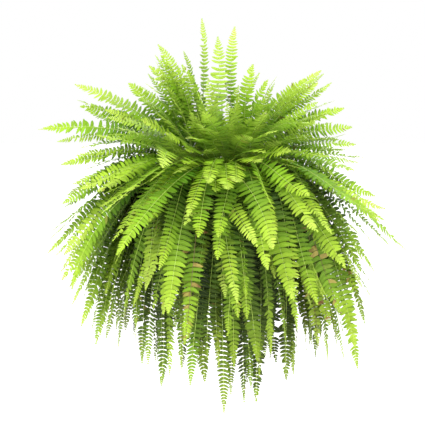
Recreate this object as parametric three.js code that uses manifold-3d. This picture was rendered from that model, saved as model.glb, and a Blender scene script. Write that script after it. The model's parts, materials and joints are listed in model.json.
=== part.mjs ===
// A Boston fern in a hanging pot: long arching fronds of leaflets cut to the rib, their crowns set in
// soil, and a plain round pot on a short three-wire hanger. Millimetres, Z up, the front toward -Y.
// Everything is built up from the pot's base and then lowered, so that the hook hangs at the origin.
import * as THREE from "three";
import { mergeVertices } from "three/addons/utils/BufferGeometryUtils.js";
import Module from "manifold-3d";

// The pot, with its base at height zero while the plant is built.
const POT_HEIGHT = 190;
const POT_BASE_RADIUS = 88;
const POT_MOUTH_RADIUS = 118;
const POT_WALL = 2;
const FLANGE_RADIUS = 127;
const FLANGE_THICKNESS = 4;
const POT_SIDES = 24;
const DRAINS = 4;
const DRAIN_RADIUS = 6;
const DRAIN_CIRCLE = 58;
const HOLE_SIDES = 6;

// The soil fills the pot up to here. Pieces that touch keep a small gap.
const SOIL_TOP = 172;
const GAP = 0.3;

// The hanger: three wires from the pot's flange to the ring under a hook.
const WIRE_RADIUS = 1.2;
const WIRE_CIRCLE = 121.5;
const WIRE_AZIMUTHS = [60, 180, 300];
const WIRE_HOLE_RADIUS = 2;
const ROD_SIDES = 6;
const RING_HEIGHT = 392;
const RING_RADIUS = 11;
const RING_STEPS = 14;
const HOOK_ROD_RADIUS = 1.8;
const HOOK_NECK = 12;
const HOOK_CURL_RADIUS = 13;
const HOOK_TOP = RING_HEIGHT + HOOK_NECK + 2 * HOOK_CURL_RADIUS;
const HOOK_SEAT = HOOK_TOP - HOOK_ROD_RADIUS;
// The arm from the ring to the curl: across in ring radii, up in neck heights.
const HOOK_ARM = [[-1, 0], [-0.8, 0.4], [-0.4, 0.85]];
// First and last angle of each bend, in degrees, with the number of steps.
const HOOK_CURL = [-90, 190, 10];
const OVER_RING = [210, 28, 5];
const UNDER_FLANGE = [180, 370, 7];
const ABOVE_FLANGE = 3;

// The crowns stand in the soil in an even spiral, and each carries a few fronds.
const CROWNS = 46;
const CROWN_SPREAD = 100;
const CROWN_RADIUS = 6;
const CROWN_DEPTH = 12;
const CROWN_RISE = 7;
const CROWN_SIDES = 5;
const STALK_FOOT = 3;
const FRONDS_PER_CROWN = 5;
const GOLDEN_ANGLE = 137.508;
// A frond grows from one of the few nearest crowns with room: near the edge if its tip hangs lower than
// the first slope, and ever nearer the middle up to the second.
const CROWN_CHOICES = 6;
const INWARD_SLOPES = [-30, 90];

// How a rib arches. Stalks leave steeply from the middle crowns and lean out from the outer ones.
const RISE_INNER = 86;
const RISE_OUTER = 54;
const FOLLOW_CROWN = 0.6;
// The tip points this many times as steeply as the line from the soil's middle to it, less a droop,
// between two limits.
const TIP_SLOPE = 1.15;
const DROOP = 20;
const STEEPEST_DOWN = -88;
const STEEPEST_UP = 85;
// Lengths of the curve's handles, at the foot in millimetres or as a share of the reach, and at the tip
// as a share of the reach. They grow as the tip hangs lower, up to the full slope.
const FULL_HANG = 60;
const HANGING_HANDLES = [160, 190];
const RISING_HANDLE = 0.38;
const TIP_HANDLES = [0.3, 0.42];

// One frond: a bare stalk, then pairs of leaflets that narrow to the tip.
const STALK_SHARE = 0.3;
const BLADE_END = 0.985;
const BLADE_WIDTH = 63;
const BLADE_FOOT = 0.15;
const WIDEST_AT = 0.3;
// Powers that keep the blade broad until late and then round its end.
const TAPER_LATE = 3;
const TAPER_ROUND = 0.8;
const TIP_LENGTH = 4;
const FEWEST_PAIRS = 4;
const MOST_PAIRS = 12;
const LEAFLET_PITCH = 62;
const LEAFLET_SWEEP = 0.34;
const LEAFLET_FOLD = 14;
const RIB_WIDTH = 3.2;
const RIB_DEPTH = 2.8;
const RIB_TAPER = 0.45;
// A frond is fully turned about its rib once this rate times the share along it reaches one.
const TURN_RATE = 2.5;

// Fronds that show singly from the front. Each row gives the tip in millimetres, across to the right,
// toward the viewer and up from the soil, and how far the blade turns to face the viewer, in degrees.
const FRONT_FRONDS = [
  [4, 170, -530, 10],
  [84, 140, -512, 20],
  [-47, 165, -462, 15],
  [-150, 120, -480, 40],
  [-47, -10, 410, -20],
  [32, -20, 393, -10],
  [-22, 20, 360, 30],
  [76, 20, 298, 40],
  [-152, 30, 318, 50],
  [-183, -60, 298, 60],
  [-115, 20, 300, 60],
  [-235, -30, 252, 50],
  [-370, -40, 250, 30],
  [-365, -90, 195, 15],
  [-440, 20, 145, 50],
  [-400, 10, 52, 30],
  [-395, 20, -45, 35],
  [325, -20, 145, 40],
  [310, -60, 190, 35],
  [240, -40, 255, 30],
  [155, 60, 235, 30],
  [105, 40, 255, 40],
  [160, 60, -480, 60],
  [-320, 0, -405, 60],
  [-350, 40, -350, 65],
  [345, 0, -468, 60],
  [330, 80, -395, 55],
  [80, -150, -490, 30],
  [185, -60, -500, 50],
  [-65, 150, -445, 25],
  [-80, 110, -465, 15],
  [118, 60, -420, 20],
  [40, 100, -400, 10],
  [110, 170, -350, 15],
  [205, 80, -360, 30],
  [245, 30, -380, 40],
  [305, 50, -355, 50],
  [265, 110, -330, 40],
  [-215, 110, -330, 40],
  [-290, 70, -260, 50],
  [-432, 30, -168, 40],
  [-395, 60, -230, 60],
  [465, -20, -165, 20],
  [375, 40, -25, 45],
  [350, -80, 52, 5],
  [372, 40, -212, 40],
  [-255, 110, -320, 40],
  [35, 300, -270, 0],
  [80, 200, -395, 15],
  [-140, 260, -270, 10],
  [160, 280, -235, 15],
  [220, 230, -255, 25],
  [280, 150, -295, 40],
  [285, 200, -175, 35],
  [-55, 330, -85, 0],
  [10, 330, 20, 0],
  [100, 340, -155, 10],
  [120, 330, -115, 15],
  [215, 280, -80, 20],
  [-165, 250, -60, 15],
  [-220, 220, -90, 20],
  [-245, 150, -170, 35],
  [65, 300, -10, 10],
  [-70, 280, -25, 10],
  [195, 240, -5, 20],
  [-255, 60, 145, 30],
  [-305, 80, 115, 30],
  [-360, 60, 15, 25],
  [-290, 180, 0, 20],
  [-390, -40, -265, 45],
  [255, 140, 80, 25],
  [230, 60, 205, 30],
  [225, -100, 260, 20],
  [-205, 60, 235, 25],
  [-40, 60, 195, 50],
  [45, 120, 155, 20],
  [85, 130, 150, 35],
  [-190, 110, 175, 30],
  [-95, 150, 150, 20],
  [-130, 160, 135, 25],
  [155, 200, 95, 20],
  [-15, 180, 125, 10],
  [-85, 240, 70, 10],
  [90, 240, 70, 15],
];
const FRONT_WIDTH = 1;
const FRONT_WIDTH_SPREAD = 0.1;

// The rest of the plant is filled evenly all round by rule, from almost straight down to almost straight
// up. Tips that hang stay clear of the pot's foot.
const FILLER_FRONDS = 200;
const FILLER_STRIDE = 89;
const FILLER_LOOSE = 12;
const FILLER_SINES = [-0.98, 0.97];
const FILLER_NEAREST = 0.66;
const FILLER_SWING = 8;
const FILLER_TURN = 35;
const FILLER_WIDTH = 0.95;
const FILLER_WIDTH_SPREAD = 0.15;
const HANGING_CIRCLE = 165;
const REACH_LEVEL = 405;
const REACH_LOSS_ABOVE = 150;
const REACH_GAIN_BELOW = 120;
const REACH_GAIN_POWER = 1.2;

// A frond is tried again and again, each time with more stray from its aim, up to a limit.
const TRIES = 120;
const STRAY_STEP = 0.3;
const MOST_STRAY = 34;
const STRAY_RISE = 0.8;
const STRAY_FALL = 0.8;

// Fronds keep clear of one another: space is kept in cells, and a frond covers them point by point.
// Near their crown, fronds of one crown may share the space.
const COVER_STEP = 4;
const COVER_ACROSS = 8;
const SHARED_REACH = 110;
const CELL = 3;
const SPACE_CELLS = 370;
const SPACE_LOW = new THREE.Vector3(-555, -555, SOIL_TOP - 620);
const HANGER_OWNER = -1;
const WIRE_STEPS = 100;
// Room that fronds leave round the flange, at the rim and the base, and over the soil.
const FLANGE_ROOM = 7;
const POT_ROOM = 5;
const SOIL_ROOM = 1;

const SEED = 20292;

const UP = new THREE.Vector3(0, 0, 1);
const ACROSS = new THREE.Vector3(1, 0, 0);

const leafGreen = new THREE.MeshStandardMaterial({ color: 0x7fae33, roughness: 0.55 });
const potGreen = new THREE.MeshStandardMaterial({ color: 0x27402a, roughness: 0.5 });
const soilBrown = new THREE.MeshStandardMaterial({ color: 0x35261b, roughness: 0.95 });
const wireSteel = new THREE.MeshStandardMaterial({ color: 0x6f7472, roughness: 0.4, metalness: 0.9 });

const wasm = await Module();
wasm.setup();

function radians(degrees) {
  return (degrees * Math.PI) / 180;
}

function mix(a, b, share) {
  return a + (b - a) * share;
}

function clamp(value, low, high) {
  return Math.min(high, Math.max(low, value));
}

// Numbers from -1 to 1 in a fixed order, so that the plant is the same each time.
function createDraw(seed) {
  let state = seed;
  return () => {
    state = (state * 1664525 + 1013904223) % 4294967296;
    return (state / 4294967296) * 2 - 1;
  };
}

// A direction from its azimuth, 0 toward the viewer and 90 to the right, and its slope above level.
function direction(azimuth, slope) {
  const level = Math.cos(radians(slope));
  const across = Math.sin(radians(azimuth)) * level;
  const back = -Math.cos(radians(azimuth)) * level;
  return new THREE.Vector3(across, back, Math.sin(radians(slope)));
}

function azimuthOf(point) {
  return (Math.atan2(point.x, -point.y) * 180) / Math.PI;
}

// Solids

function toSolid(geometry) {
  const bare = geometry.index ? geometry.toNonIndexed() : geometry.clone();
  for (const name of Object.keys(bare.attributes)) {
    if (name !== "position") {
      bare.deleteAttribute(name);
    }
  }
  const merged = mergeVertices(bare, 1e-4);
  const vertProperties = new Float32Array(merged.attributes.position.array);
  const triVerts = new Uint32Array(merged.index.array);
  return new wasm.Manifold(new wasm.Mesh({ numProp: 3, vertProperties, triVerts }));
}

function toGeometry(solid) {
  const mesh = solid.getMesh();
  const geometry = new THREE.BufferGeometry();
  geometry.setAttribute("position", new THREE.BufferAttribute(mesh.vertProperties, mesh.numProp));
  geometry.setIndex(new THREE.BufferAttribute(mesh.triVerts, 1));
  geometry.computeVertexNormals();
  return geometry;
}

function named(name, geometry, material) {
  const mesh = new THREE.Mesh(geometry, material);
  mesh.name = name;
  return mesh;
}

function fromFaces(corners, faces) {
  const geometry = new THREE.BufferGeometry();
  geometry.setFromPoints(corners);
  geometry.setIndex(faces.flat());
  return geometry;
}

// A turned shape about the vertical axis, from [radius, height] points.
function turned(points, sides) {
  const profile = points.map(([radius, height]) => new THREE.Vector2(radius, height));
  return new THREE.LatheGeometry(profile, sides).rotateX(Math.PI / 2);
}

// An upright prism from one height to another, moved to a place on the level.
function upright(place, radius, low, high, sides) {
  const height = high - low;
  const post = new THREE.CylinderGeometry(radius, radius, height, sides).rotateX(Math.PI / 2);
  return toSolid(post.translate(place.x, place.y, low + height / 2));
}

// A round rod along a list of points, closed at both ends.
function rod(points, radius) {
  const corners = [];
  const faces = [];
  let side = new THREE.Vector3(0.31, 0.2, 0.93).cross(points[1].clone().sub(points[0]));
  points.forEach((point, i) => {
    const before = points[Math.max(i - 1, 0)];
    const after = points[Math.min(i + 1, points.length - 1)];
    const along = after.clone().sub(before).normalize();
    side = side.clone().addScaledVector(along, -side.dot(along)).normalize();
    const other = along.clone().cross(side);
    for (let k = 0; k < ROD_SIDES; k += 1) {
      const turn = (2 * Math.PI * k) / ROD_SIDES;
      const corner = point.clone().addScaledVector(side, Math.cos(turn) * radius);
      corners.push(corner.addScaledVector(other, Math.sin(turn) * radius));
    }
  });
  const last = (points.length - 1) * ROD_SIDES;
  for (let start = 0; start < last; start += ROD_SIDES) {
    for (let k = 0; k < ROD_SIDES; k += 1) {
      const next = (k + 1) % ROD_SIDES;
      faces.push([start + k, start + next, start + ROD_SIDES + next]);
      faces.push([start + k, start + ROD_SIDES + next, start + ROD_SIDES + k]);
    }
  }
  for (let k = 1; k < ROD_SIDES - 1; k += 1) {
    faces.push([0, k + 1, k]);
    faces.push([last, last + k, last + k + 1]);
  }
  return fromFaces(corners, faces);
}

// Points on an arc about a centre, in the plane of two unit vectors, angles in degrees.
function arc(centre, first, second, radius, [from, to, steps]) {
  const points = [];
  for (let i = 0; i <= steps; i += 1) {
    const turn = radians(mix(from, to, i / steps));
    const point = centre.clone().addScaledVector(first, Math.cos(turn) * radius);
    points.push(point.addScaledVector(second, Math.sin(turn) * radius));
  }
  return points;
}

// The pot: a tapered wall, a flat base with drain holes and a flange that the wires hook under.
function makePot() {
  const profile = [
    [0, 0],
    [POT_BASE_RADIUS, 0],
    [POT_MOUTH_RADIUS, POT_HEIGHT - FLANGE_THICKNESS],
    [FLANGE_RADIUS, POT_HEIGHT - FLANGE_THICKNESS],
    [FLANGE_RADIUS, POT_HEIGHT],
    [POT_MOUTH_RADIUS - POT_WALL, POT_HEIGHT],
    [POT_BASE_RADIUS - POT_WALL, POT_WALL],
    [0, POT_WALL],
  ];
  let pot = toSolid(turned(profile, POT_SIDES));
  for (let i = 0; i < DRAINS; i += 1) {
    const place = direction((360 * (i + 0.5)) / DRAINS, 0).multiplyScalar(DRAIN_CIRCLE);
    pot = pot.subtract(upright(place, DRAIN_RADIUS, -POT_WALL, 2 * POT_WALL, HOLE_SIDES));
  }
  const underFlange = POT_HEIGHT - 2 * FLANGE_THICKNESS;
  for (const azimuth of WIRE_AZIMUTHS) {
    const place = direction(azimuth, 0).multiplyScalar(WIRE_CIRCLE);
    pot = pot.subtract(upright(place, WIRE_HOLE_RADIUS, underFlange, POT_HEIGHT + 1, HOLE_SIDES));
  }
  return toGeometry(pot);
}

// The soil, with a plain hole for each crown.
function makeSoil(crowns) {
  const slope = (POT_MOUTH_RADIUS - POT_BASE_RADIUS) / (POT_HEIGHT - POT_WALL);
  const sideAt = (height) => POT_BASE_RADIUS - POT_WALL + slope * (height - POT_WALL) - GAP;
  const floor = POT_WALL + GAP;
  const profile = [
    [0, floor],
    [sideAt(floor), floor],
    [sideAt(SOIL_TOP), SOIL_TOP],
    [0, SOIL_TOP],
  ];
  let soil = toSolid(turned(profile, POT_SIDES));
  const radius = CROWN_RADIUS + GAP / Math.cos(Math.PI / CROWN_SIDES);
  for (const { base } of crowns) {
    const hole = upright(base, radius, SOIL_TOP - CROWN_DEPTH - GAP, SOIL_TOP + 1, CROWN_SIDES);
    soil = soil.subtract(hole);
  }
  return toGeometry(soil);
}

// The hook: a level ring that carries the wires, an arm up from its left side to the axis, and the curl
// that hangs on a rail, open at its lower left.
function makeHook() {
  const arm = HOOK_ARM.map(([across, up]) => {
    return new THREE.Vector3(across * RING_RADIUS, 0, RING_HEIGHT + up * HOOK_NECK);
  });
  const centre = new THREE.Vector3(0, 0, HOOK_TOP - HOOK_CURL_RADIUS);
  const curl = arc(centre, ACROSS, UP, HOOK_CURL_RADIUS, HOOK_CURL);
  const ring = new THREE.TorusGeometry(RING_RADIUS, HOOK_ROD_RADIUS, ROD_SIDES, RING_STEPS);
  const hook = toSolid(rod([...arm, ...curl], HOOK_ROD_RADIUS));
  return toGeometry(toSolid(ring.translate(0, 0, RING_HEIGHT)).add(hook));
}

// A wire: over the ring at the top, straight down to the flange, through its hole and up round its edge.
function makeWire(azimuth) {
  const out = direction(azimuth, 0);
  const bar = out.clone().multiplyScalar(RING_RADIUS).setZ(RING_HEIGHT);
  const over = arc(bar, out, UP, WIRE_RADIUS + HOOK_ROD_RADIUS + 2 * GAP, OVER_RING);
  const edge = (WIRE_CIRCLE + FLANGE_RADIUS + GAP + WIRE_RADIUS) / 2;
  const bend = out.clone().multiplyScalar(edge).setZ(POT_HEIGHT - FLANGE_THICKNESS - 2 * GAP);
  const under = arc(bend, out, UP, edge - WIRE_CIRCLE, UNDER_FLANGE);
  const above = out.clone().multiplyScalar(WIRE_CIRCLE).setZ(POT_HEIGHT + ABOVE_FLANGE);
  return rod([...over, above, ...under], WIRE_RADIUS);
}

// The fronds

// Space that is taken, kept by the crown that took it.
class Space {
  constructor() {
    this.owner = new Int8Array(SPACE_CELLS ** 3);
  }

  index(point) {
    const i = Math.floor((point.x - SPACE_LOW.x) / CELL);
    const j = Math.floor((point.y - SPACE_LOW.y) / CELL);
    const k = Math.floor((point.z - SPACE_LOW.z) / CELL);
    return (i * SPACE_CELLS + j) * SPACE_CELLS + k;
  }

  // Takes a point's cell and its neighbours: for a stalk only those that share a face with it.
  take(point, owner, stalk) {
    const centre = this.index(point);
    for (let i = -1; i <= 1; i += 1) {
      for (let j = -1; j <= 1; j += 1) {
        for (let k = -1; k <= 1; k += 1) {
          const cell = centre + (i * SPACE_CELLS + j) * SPACE_CELLS + k;
          const near = Math.abs(i) + Math.abs(j) + Math.abs(k) < 2;
          if (this.owner[cell] === 0 && (near || !stalk)) {
            this.owner[cell] = owner;
          }
        }
      }
    }
  }
}

// The pot and the soil are out of bounds, with room for a blade to pass them.
function insidePot(point) {
  const radius = Math.hypot(point.x, point.y);
  const overSoil = radius < POT_MOUTH_RADIUS - POT_ROOM && point.z > SOIL_TOP + SOIL_ROOM;
  const level = point.z < POT_HEIGHT + POT_ROOM && point.z > -POT_ROOM;
  return radius < FLANGE_RADIUS + FLANGE_ROOM && level && !overSoil;
}

function makeCrowns() {
  const crowns = [];
  for (let i = 0; i < CROWNS; i += 1) {
    const radius = CROWN_SPREAD * Math.sqrt((i + 0.5) / CROWNS);
    const base = direction(i * GOLDEN_ANGLE, 0).multiplyScalar(radius);
    base.z = SOIL_TOP + STALK_FOOT;
    crowns.push({ owner: i + 1, base, fronds: [] });
  }
  return crowns;
}

// How far a tip lies from the soil's middle, level and in all, and its slope above level.
function measureTip(tip) {
  const level = Math.hypot(tip.x, tip.y);
  const height = tip.z - SOIL_TOP;
  const slope = (Math.atan2(height, level) * 180) / Math.PI;
  return { level, slope, reach: Math.hypot(level, height) };
}

// The crowns with room, the one nearest to where a frond of this tip would grow first.
function crownsFor(crowns, tip) {
  const { level, slope } = measureTip(tip);
  const [from, to] = INWARD_SLOPES;
  const inward = clamp((slope - from) / (to - from), 0, 1);
  const scale = (CROWN_SPREAD * (1 - inward)) / level;
  const gap = ({ base }) => Math.hypot(base.x - tip.x * scale, base.y - tip.y * scale);
  const open = crowns.filter((crown) => crown.fronds.length < FRONDS_PER_CROWN);
  return open.sort((one, other) => gap(one) - gap(other)).slice(0, CROWN_CHOICES);
}

// The rib of a frond as a curve: up from its crown, over in an arch and out or down to its tip.
function ribCurve(base, tip, wander) {
  const { slope, reach } = measureTip(tip);
  const azimuth = azimuthOf(tip);
  const out = Math.hypot(base.x, base.y) / CROWN_SPREAD;
  const lean = direction(azimuth, 0).multiplyScalar(1 - FOLLOW_CROWN * out);
  lean.addScaledVector(direction(azimuthOf(base), 0), FOLLOW_CROWN * out);
  const leave = direction(azimuthOf(lean) + wander.side, mix(RISE_INNER, RISE_OUTER, out) + wander.rise);
  const arrive = clamp(TIP_SLOPE * slope - DROOP + wander.fall, STEEPEST_DOWN, STEEPEST_UP);
  const end = direction(azimuth - wander.side, arrive);
  const hang = clamp(-slope / FULL_HANG, 0, 1);
  const first = slope < 0 ? mix(...HANGING_HANDLES, hang) : RISING_HANDLE * reach;
  const second = mix(...TIP_HANDLES, hang);
  return new THREE.CubicBezierCurve3(
    base,
    base.clone().addScaledVector(leave, first),
    tip.clone().addScaledVector(end, -second * reach),
    tip,
  );
}

// The blade's width, as a share of its widest, from its foot, 0, to its tip, 1.
function bladeShape(share) {
  const foot = mix(BLADE_FOOT, 1, clamp(share / WIDEST_AT, 0, 1));
  return foot * Math.pow(Math.max(1 - share ** TAPER_LATE, 0), TAPER_ROUND);
}

// Places along a frond, each with the rib's point, its sideways and upward directions and the half width.
function stations({ base, tip, wander, turn, width }) {
  const curve = ribCurve(base, tip, wander);
  const blade = (1 - STALK_SHARE) * curve.getLength();
  const pairs = clamp(Math.round(blade / LEAFLET_PITCH), FEWEST_PAIRS, MOST_PAIRS);
  const stalk = [0, STALK_SHARE / 2];
  const shares = [...stalk];
  for (let i = 0; i <= pairs; i += 1) {
    shares.push(mix(STALK_SHARE, BLADE_END, i / pairs));
  }
  const level = direction(azimuthOf(tip), 0).cross(UP);
  return shares.map((share, i) => {
    const along = curve.getTangent(share);
    const flat = level.clone().addScaledVector(along, -level.dot(along)).normalize();
    const side = flat.applyAxisAngle(along, radians(turn * clamp(share * TURN_RATE, 0, 1)));
    const above = side.clone().cross(along);
    const inBlade = (share - STALK_SHARE) / (1 - STALK_SHARE);
    const half = i < stalk.length ? 0 : (width / 2) * bladeShape(inBlade);
    return { share, point: curve.getPoint(share), along, side, above, half };
  });
}

// Points over the stalk and the whole blade, too close together for another frond to slip between them.
function coverFrond(places) {
  const cover = [];
  const fold = Math.tan(radians(LEAFLET_FOLD));
  for (let i = 0; i < places.length - 1; i += 1) {
    const from = places[i];
    const to = places[i + 1];
    const stalk = from.half === 0;
    const across = stalk ? 0 : COVER_ACROSS;
    const steps = Math.ceil(from.point.distanceTo(to.point) / COVER_STEP);
    for (let j = 0; j < steps; j += 1) {
      const centre = from.point.clone().lerp(to.point, j / steps);
      const half = mix(from.half, to.half, j / steps);
      for (let k = -across; k <= across; k += 1) {
        const reach = (half * k) / COVER_ACROSS;
        const point = centre.clone().addScaledVector(from.side, reach);
        cover.push({ point: point.addScaledVector(from.above, Math.abs(reach) * fold), stalk });
      }
    }
  }
  return cover;
}

// A frond may pass only where nothing else is.
function isFree(space, cover, base, owner) {
  for (const { point } of cover) {
    const found = space.owner[space.index(point)];
    const shared = found === owner && point.distanceTo(base) < SHARED_REACH;
    if ((found !== 0 && !shared) || insidePot(point)) {
      return false;
    }
  }
  return true;
}

// Tries a frond with its tip at its aim, then with more and more stray, until it lies clear or is left out.
function placeFrond(space, crowns, draw, { aim, turn, width, loose }) {
  const choices = crownsFor(crowns, aim);
  for (let i = 0; i < TRIES && choices.length > 0; i += 1) {
    const stray = loose + Math.min(STRAY_STEP * i, MOST_STRAY);
    const crown = choices[i % choices.length];
    const tip = new THREE.Vector3(draw(), draw(), draw()).multiplyScalar(stray).add(aim);
    const side = draw() * stray;
    const rise = draw() * STRAY_RISE * stray;
    const fall = draw() * STRAY_FALL * stray;
    const frond = { base: crown.base, tip, wander: { side, rise, fall }, width };
    frond.turn = turn + draw() * stray;
    const places = stations(frond);
    const cover = coverFrond(places);
    if (isFree(space, cover, crown.base, crown.owner)) {
      cover.forEach(({ point, stalk }) => space.take(point, crown.owner, stalk));
      crown.fronds.push(places);
      return;
    }
  }
}

function takeHanger(space) {
  for (const azimuth of WIRE_AZIMUTHS) {
    const foot = direction(azimuth, 0).multiplyScalar(WIRE_CIRCLE).setZ(POT_HEIGHT);
    const head = direction(azimuth, 0).multiplyScalar(RING_RADIUS).setZ(RING_HEIGHT);
    for (let i = 0; i <= WIRE_STEPS; i += 1) {
      space.take(foot.clone().lerp(head, i / WIRE_STEPS), HANGER_OWNER, false);
    }
  }
  for (let height = RING_HEIGHT; height <= HOOK_TOP + CELL; height += CELL) {
    for (let across = -HOOK_CURL_RADIUS; across <= HOOK_CURL_RADIUS; across += CELL) {
      space.take(new THREE.Vector3(across, 0, height), HANGER_OWNER, false);
    }
  }
}

// How far a tip reaches from the soil's middle, by the sine of its slope.
function reachAt(sine) {
  const gain = REACH_GAIN_BELOW * Math.pow(Math.max(-sine, 0), REACH_GAIN_POWER);
  return REACH_LEVEL - REACH_LOSS_ABOVE * Math.max(sine, 0) + gain;
}

// Where a filler frond's tip aims, spread out from the pot if it hangs.
function fillerAim(order, draw) {
  const slope = (Math.asin(mix(...FILLER_SINES, (order + 0.5) / FILLER_FRONDS)) * 180) / Math.PI;
  const azimuth = 180 + order * GOLDEN_ANGLE + FILLER_SWING * draw();
  const reach = reachAt(Math.sin(radians(slope)));
  const share = mix(FILLER_NEAREST, 1, Math.sqrt(Math.abs(draw())));
  const aim = direction(azimuth, slope).multiplyScalar(reach * share);
  const spread = slope < 0 ? Math.max(HANGING_CIRCLE / Math.hypot(aim.x, aim.y), 1) : 1;
  return aim.set(aim.x * spread, aim.y * spread, aim.z + SOIL_TOP);
}

function growFronds(crowns) {
  const space = new Space();
  const draw = createDraw(SEED);
  takeHanger(space);
  for (const [across, toward, up, turn] of FRONT_FRONDS) {
    const aim = new THREE.Vector3(across, -toward, SOIL_TOP + up);
    const width = BLADE_WIDTH * (FRONT_WIDTH + FRONT_WIDTH_SPREAD * draw());
    placeFrond(space, crowns, draw, { aim, turn: turn * Math.sign(across), width, loose: 0 });
  }
  for (let i = 0; i < FILLER_FRONDS; i += 1) {
    const aim = fillerAim((i * FILLER_STRIDE) % FILLER_FRONDS, draw);
    const width = BLADE_WIDTH * (FILLER_WIDTH + FILLER_WIDTH_SPREAD * draw());
    placeFrond(space, crowns, draw, { aim, turn: FILLER_TURN * draw(), width, loose: FILLER_LOOSE });
  }
}

// One frond as a closed solid: a three-sided rib, and on each side a row of leaflets that are four-sided
// points standing on the rib's whole length, so that the cuts between them reach the rib.
function makeFrond(places) {
  const corners = [];
  const faces = [];
  places.forEach(({ point, side, above, share }) => {
    const size = mix(1, RIB_TAPER, share);
    const half = (RIB_WIDTH / 2) * size;
    corners.push(point.clone().addScaledVector(side, -half));
    corners.push(point.clone().addScaledVector(side, half));
    corners.push(point.clone().addScaledVector(above, -RIB_DEPTH * size));
  });
  const foldUp = Math.sin(radians(LEAFLET_FOLD));
  const foldOut = Math.cos(radians(LEAFLET_FOLD));
  const quad = (a, b, c, d) => faces.push([a, b, c], [a, c, d]);
  const pyramid = (a, b, c, d, top) => {
    faces.push([a, b, top], [b, c, top], [c, d, top], [d, a, top]);
  };
  for (let i = 0; i < places.length - 1; i += 1) {
    const [left, right, keel, left2, right2, keel2] = [0, 1, 2, 3, 4, 5].map((k) => 3 * i + k);
    const from = places[i];
    const to = places[i + 1];
    quad(left, right, right2, left2);
    if (from.half === 0) {
      quad(right, keel, keel2, right2);
      quad(keel, left, left2, keel2);
    } else {
      const half = (from.half + to.half) / 2;
      const centre = from.point.clone().lerp(to.point, 0.5 + LEAFLET_SWEEP);
      centre.addScaledVector(from.above, half * foldUp);
      corners.push(centre.clone().addScaledVector(from.side, half * foldOut));
      pyramid(right, keel, keel2, right2, corners.length - 1);
      corners.push(centre.clone().addScaledVector(from.side, -half * foldOut));
      pyramid(keel, left, left2, keel2, corners.length - 1);
    }
  }
  const end = places[places.length - 1];
  corners.push(end.point.clone().addScaledVector(end.along, end.half + TIP_LENGTH));
  const last = 3 * (places.length - 1);
  const tip = corners.length - 1;
  faces.push([last, last + 1, tip], [last + 1, last + 2, tip], [last + 2, last, tip]);
  faces.push([0, 2, 1]);
  return fromFaces(corners, faces);
}

// A crown: a short post in its soil hole, and its fronds grown together with it.
function makeCrown({ base, fronds }) {
  const profile = [
    [0, SOIL_TOP - CROWN_DEPTH],
    [CROWN_RADIUS, SOIL_TOP - CROWN_DEPTH],
    [CROWN_RADIUS, SOIL_TOP + CROWN_RISE / 2],
    [0, SOIL_TOP + CROWN_RISE],
  ];
  let solid = toSolid(turned(profile, CROWN_SIDES).translate(base.x, base.y, 0));
  for (const places of fronds) {
    solid = solid.add(toSolid(makeFrond(places)));
  }
  return toGeometry(solid);
}

const crowns = makeCrowns();
growFronds(crowns);
const planted = crowns.filter(({ fronds }) => fronds.length > 0);

const plant = new THREE.Group();
plant.position.z = -HOOK_SEAT;
plant.add(named("pot", makePot(), potGreen));
plant.add(named("soil", makeSoil(planted), soilBrown));
plant.add(named("hanger_hook", makeHook(), wireSteel));
WIRE_AZIMUTHS.forEach((azimuth, i) => {
  plant.add(named(`hanger_wire_${i + 1}`, makeWire(azimuth), wireSteel));
});
planted.forEach((crown, i) => {
  plant.add(named(`fronds_${String(i + 1).padStart(2, "0")}`, makeCrown(crown), leafGreen));
});

const fern = new THREE.Group();
fern.add(plant);

export default fern;
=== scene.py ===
# %% [markdown]
# # A Boston fern in a hanging pot
#
# This notebook dresses the fern's imported solids. The solids already hold every frond in its place, with a few
# large leaflets each. Here each frond gets its true leaflets, thirty pairs or so on the same rib, younger
# fronds grow between them, and the pot, the soil and the hanger get their finish.
#
# The frame comes first. It says where everything lies, in metres, with the hook's seat at the origin, Z up and
# the viewer toward -Y.

# %% Load the frame
import json
import math

import bmesh
import bpy
import numpy as np
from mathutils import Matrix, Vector

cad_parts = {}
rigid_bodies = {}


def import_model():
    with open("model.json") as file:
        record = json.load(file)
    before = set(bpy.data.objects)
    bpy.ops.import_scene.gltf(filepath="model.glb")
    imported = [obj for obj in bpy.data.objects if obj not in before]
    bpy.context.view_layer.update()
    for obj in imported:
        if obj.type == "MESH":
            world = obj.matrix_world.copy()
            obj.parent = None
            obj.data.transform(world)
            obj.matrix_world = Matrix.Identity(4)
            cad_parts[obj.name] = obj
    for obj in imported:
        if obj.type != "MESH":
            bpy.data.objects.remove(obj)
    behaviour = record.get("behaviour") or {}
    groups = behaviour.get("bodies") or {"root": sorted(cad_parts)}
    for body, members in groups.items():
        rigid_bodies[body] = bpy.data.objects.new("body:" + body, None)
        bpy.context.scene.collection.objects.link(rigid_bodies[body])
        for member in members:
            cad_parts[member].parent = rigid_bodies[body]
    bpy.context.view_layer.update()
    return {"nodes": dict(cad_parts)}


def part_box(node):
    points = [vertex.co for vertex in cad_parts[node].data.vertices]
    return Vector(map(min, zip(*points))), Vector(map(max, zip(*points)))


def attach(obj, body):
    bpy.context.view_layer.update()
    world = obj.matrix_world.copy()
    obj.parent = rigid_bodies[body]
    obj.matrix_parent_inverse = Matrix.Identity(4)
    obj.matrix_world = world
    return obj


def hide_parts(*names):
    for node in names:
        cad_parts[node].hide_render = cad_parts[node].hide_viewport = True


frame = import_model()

nodes = frame["nodes"]
frond_names = sorted(name for name in nodes if name.startswith("fronds_"))
print("nodes", len(nodes), "frond nodes", len(frond_names))

# %% [markdown]
# ## The stage
#
# The photograph is a cut-out on pure white, seen almost level. A hanging plant has its floor far below. So the
# scene has a wide white floor well under the lowest tip and a white world, which also gives the soft light from
# all round. Large soft lamps, one in front above, one low in front, one at each side and one behind, give the
# leaves their shape.

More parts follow.
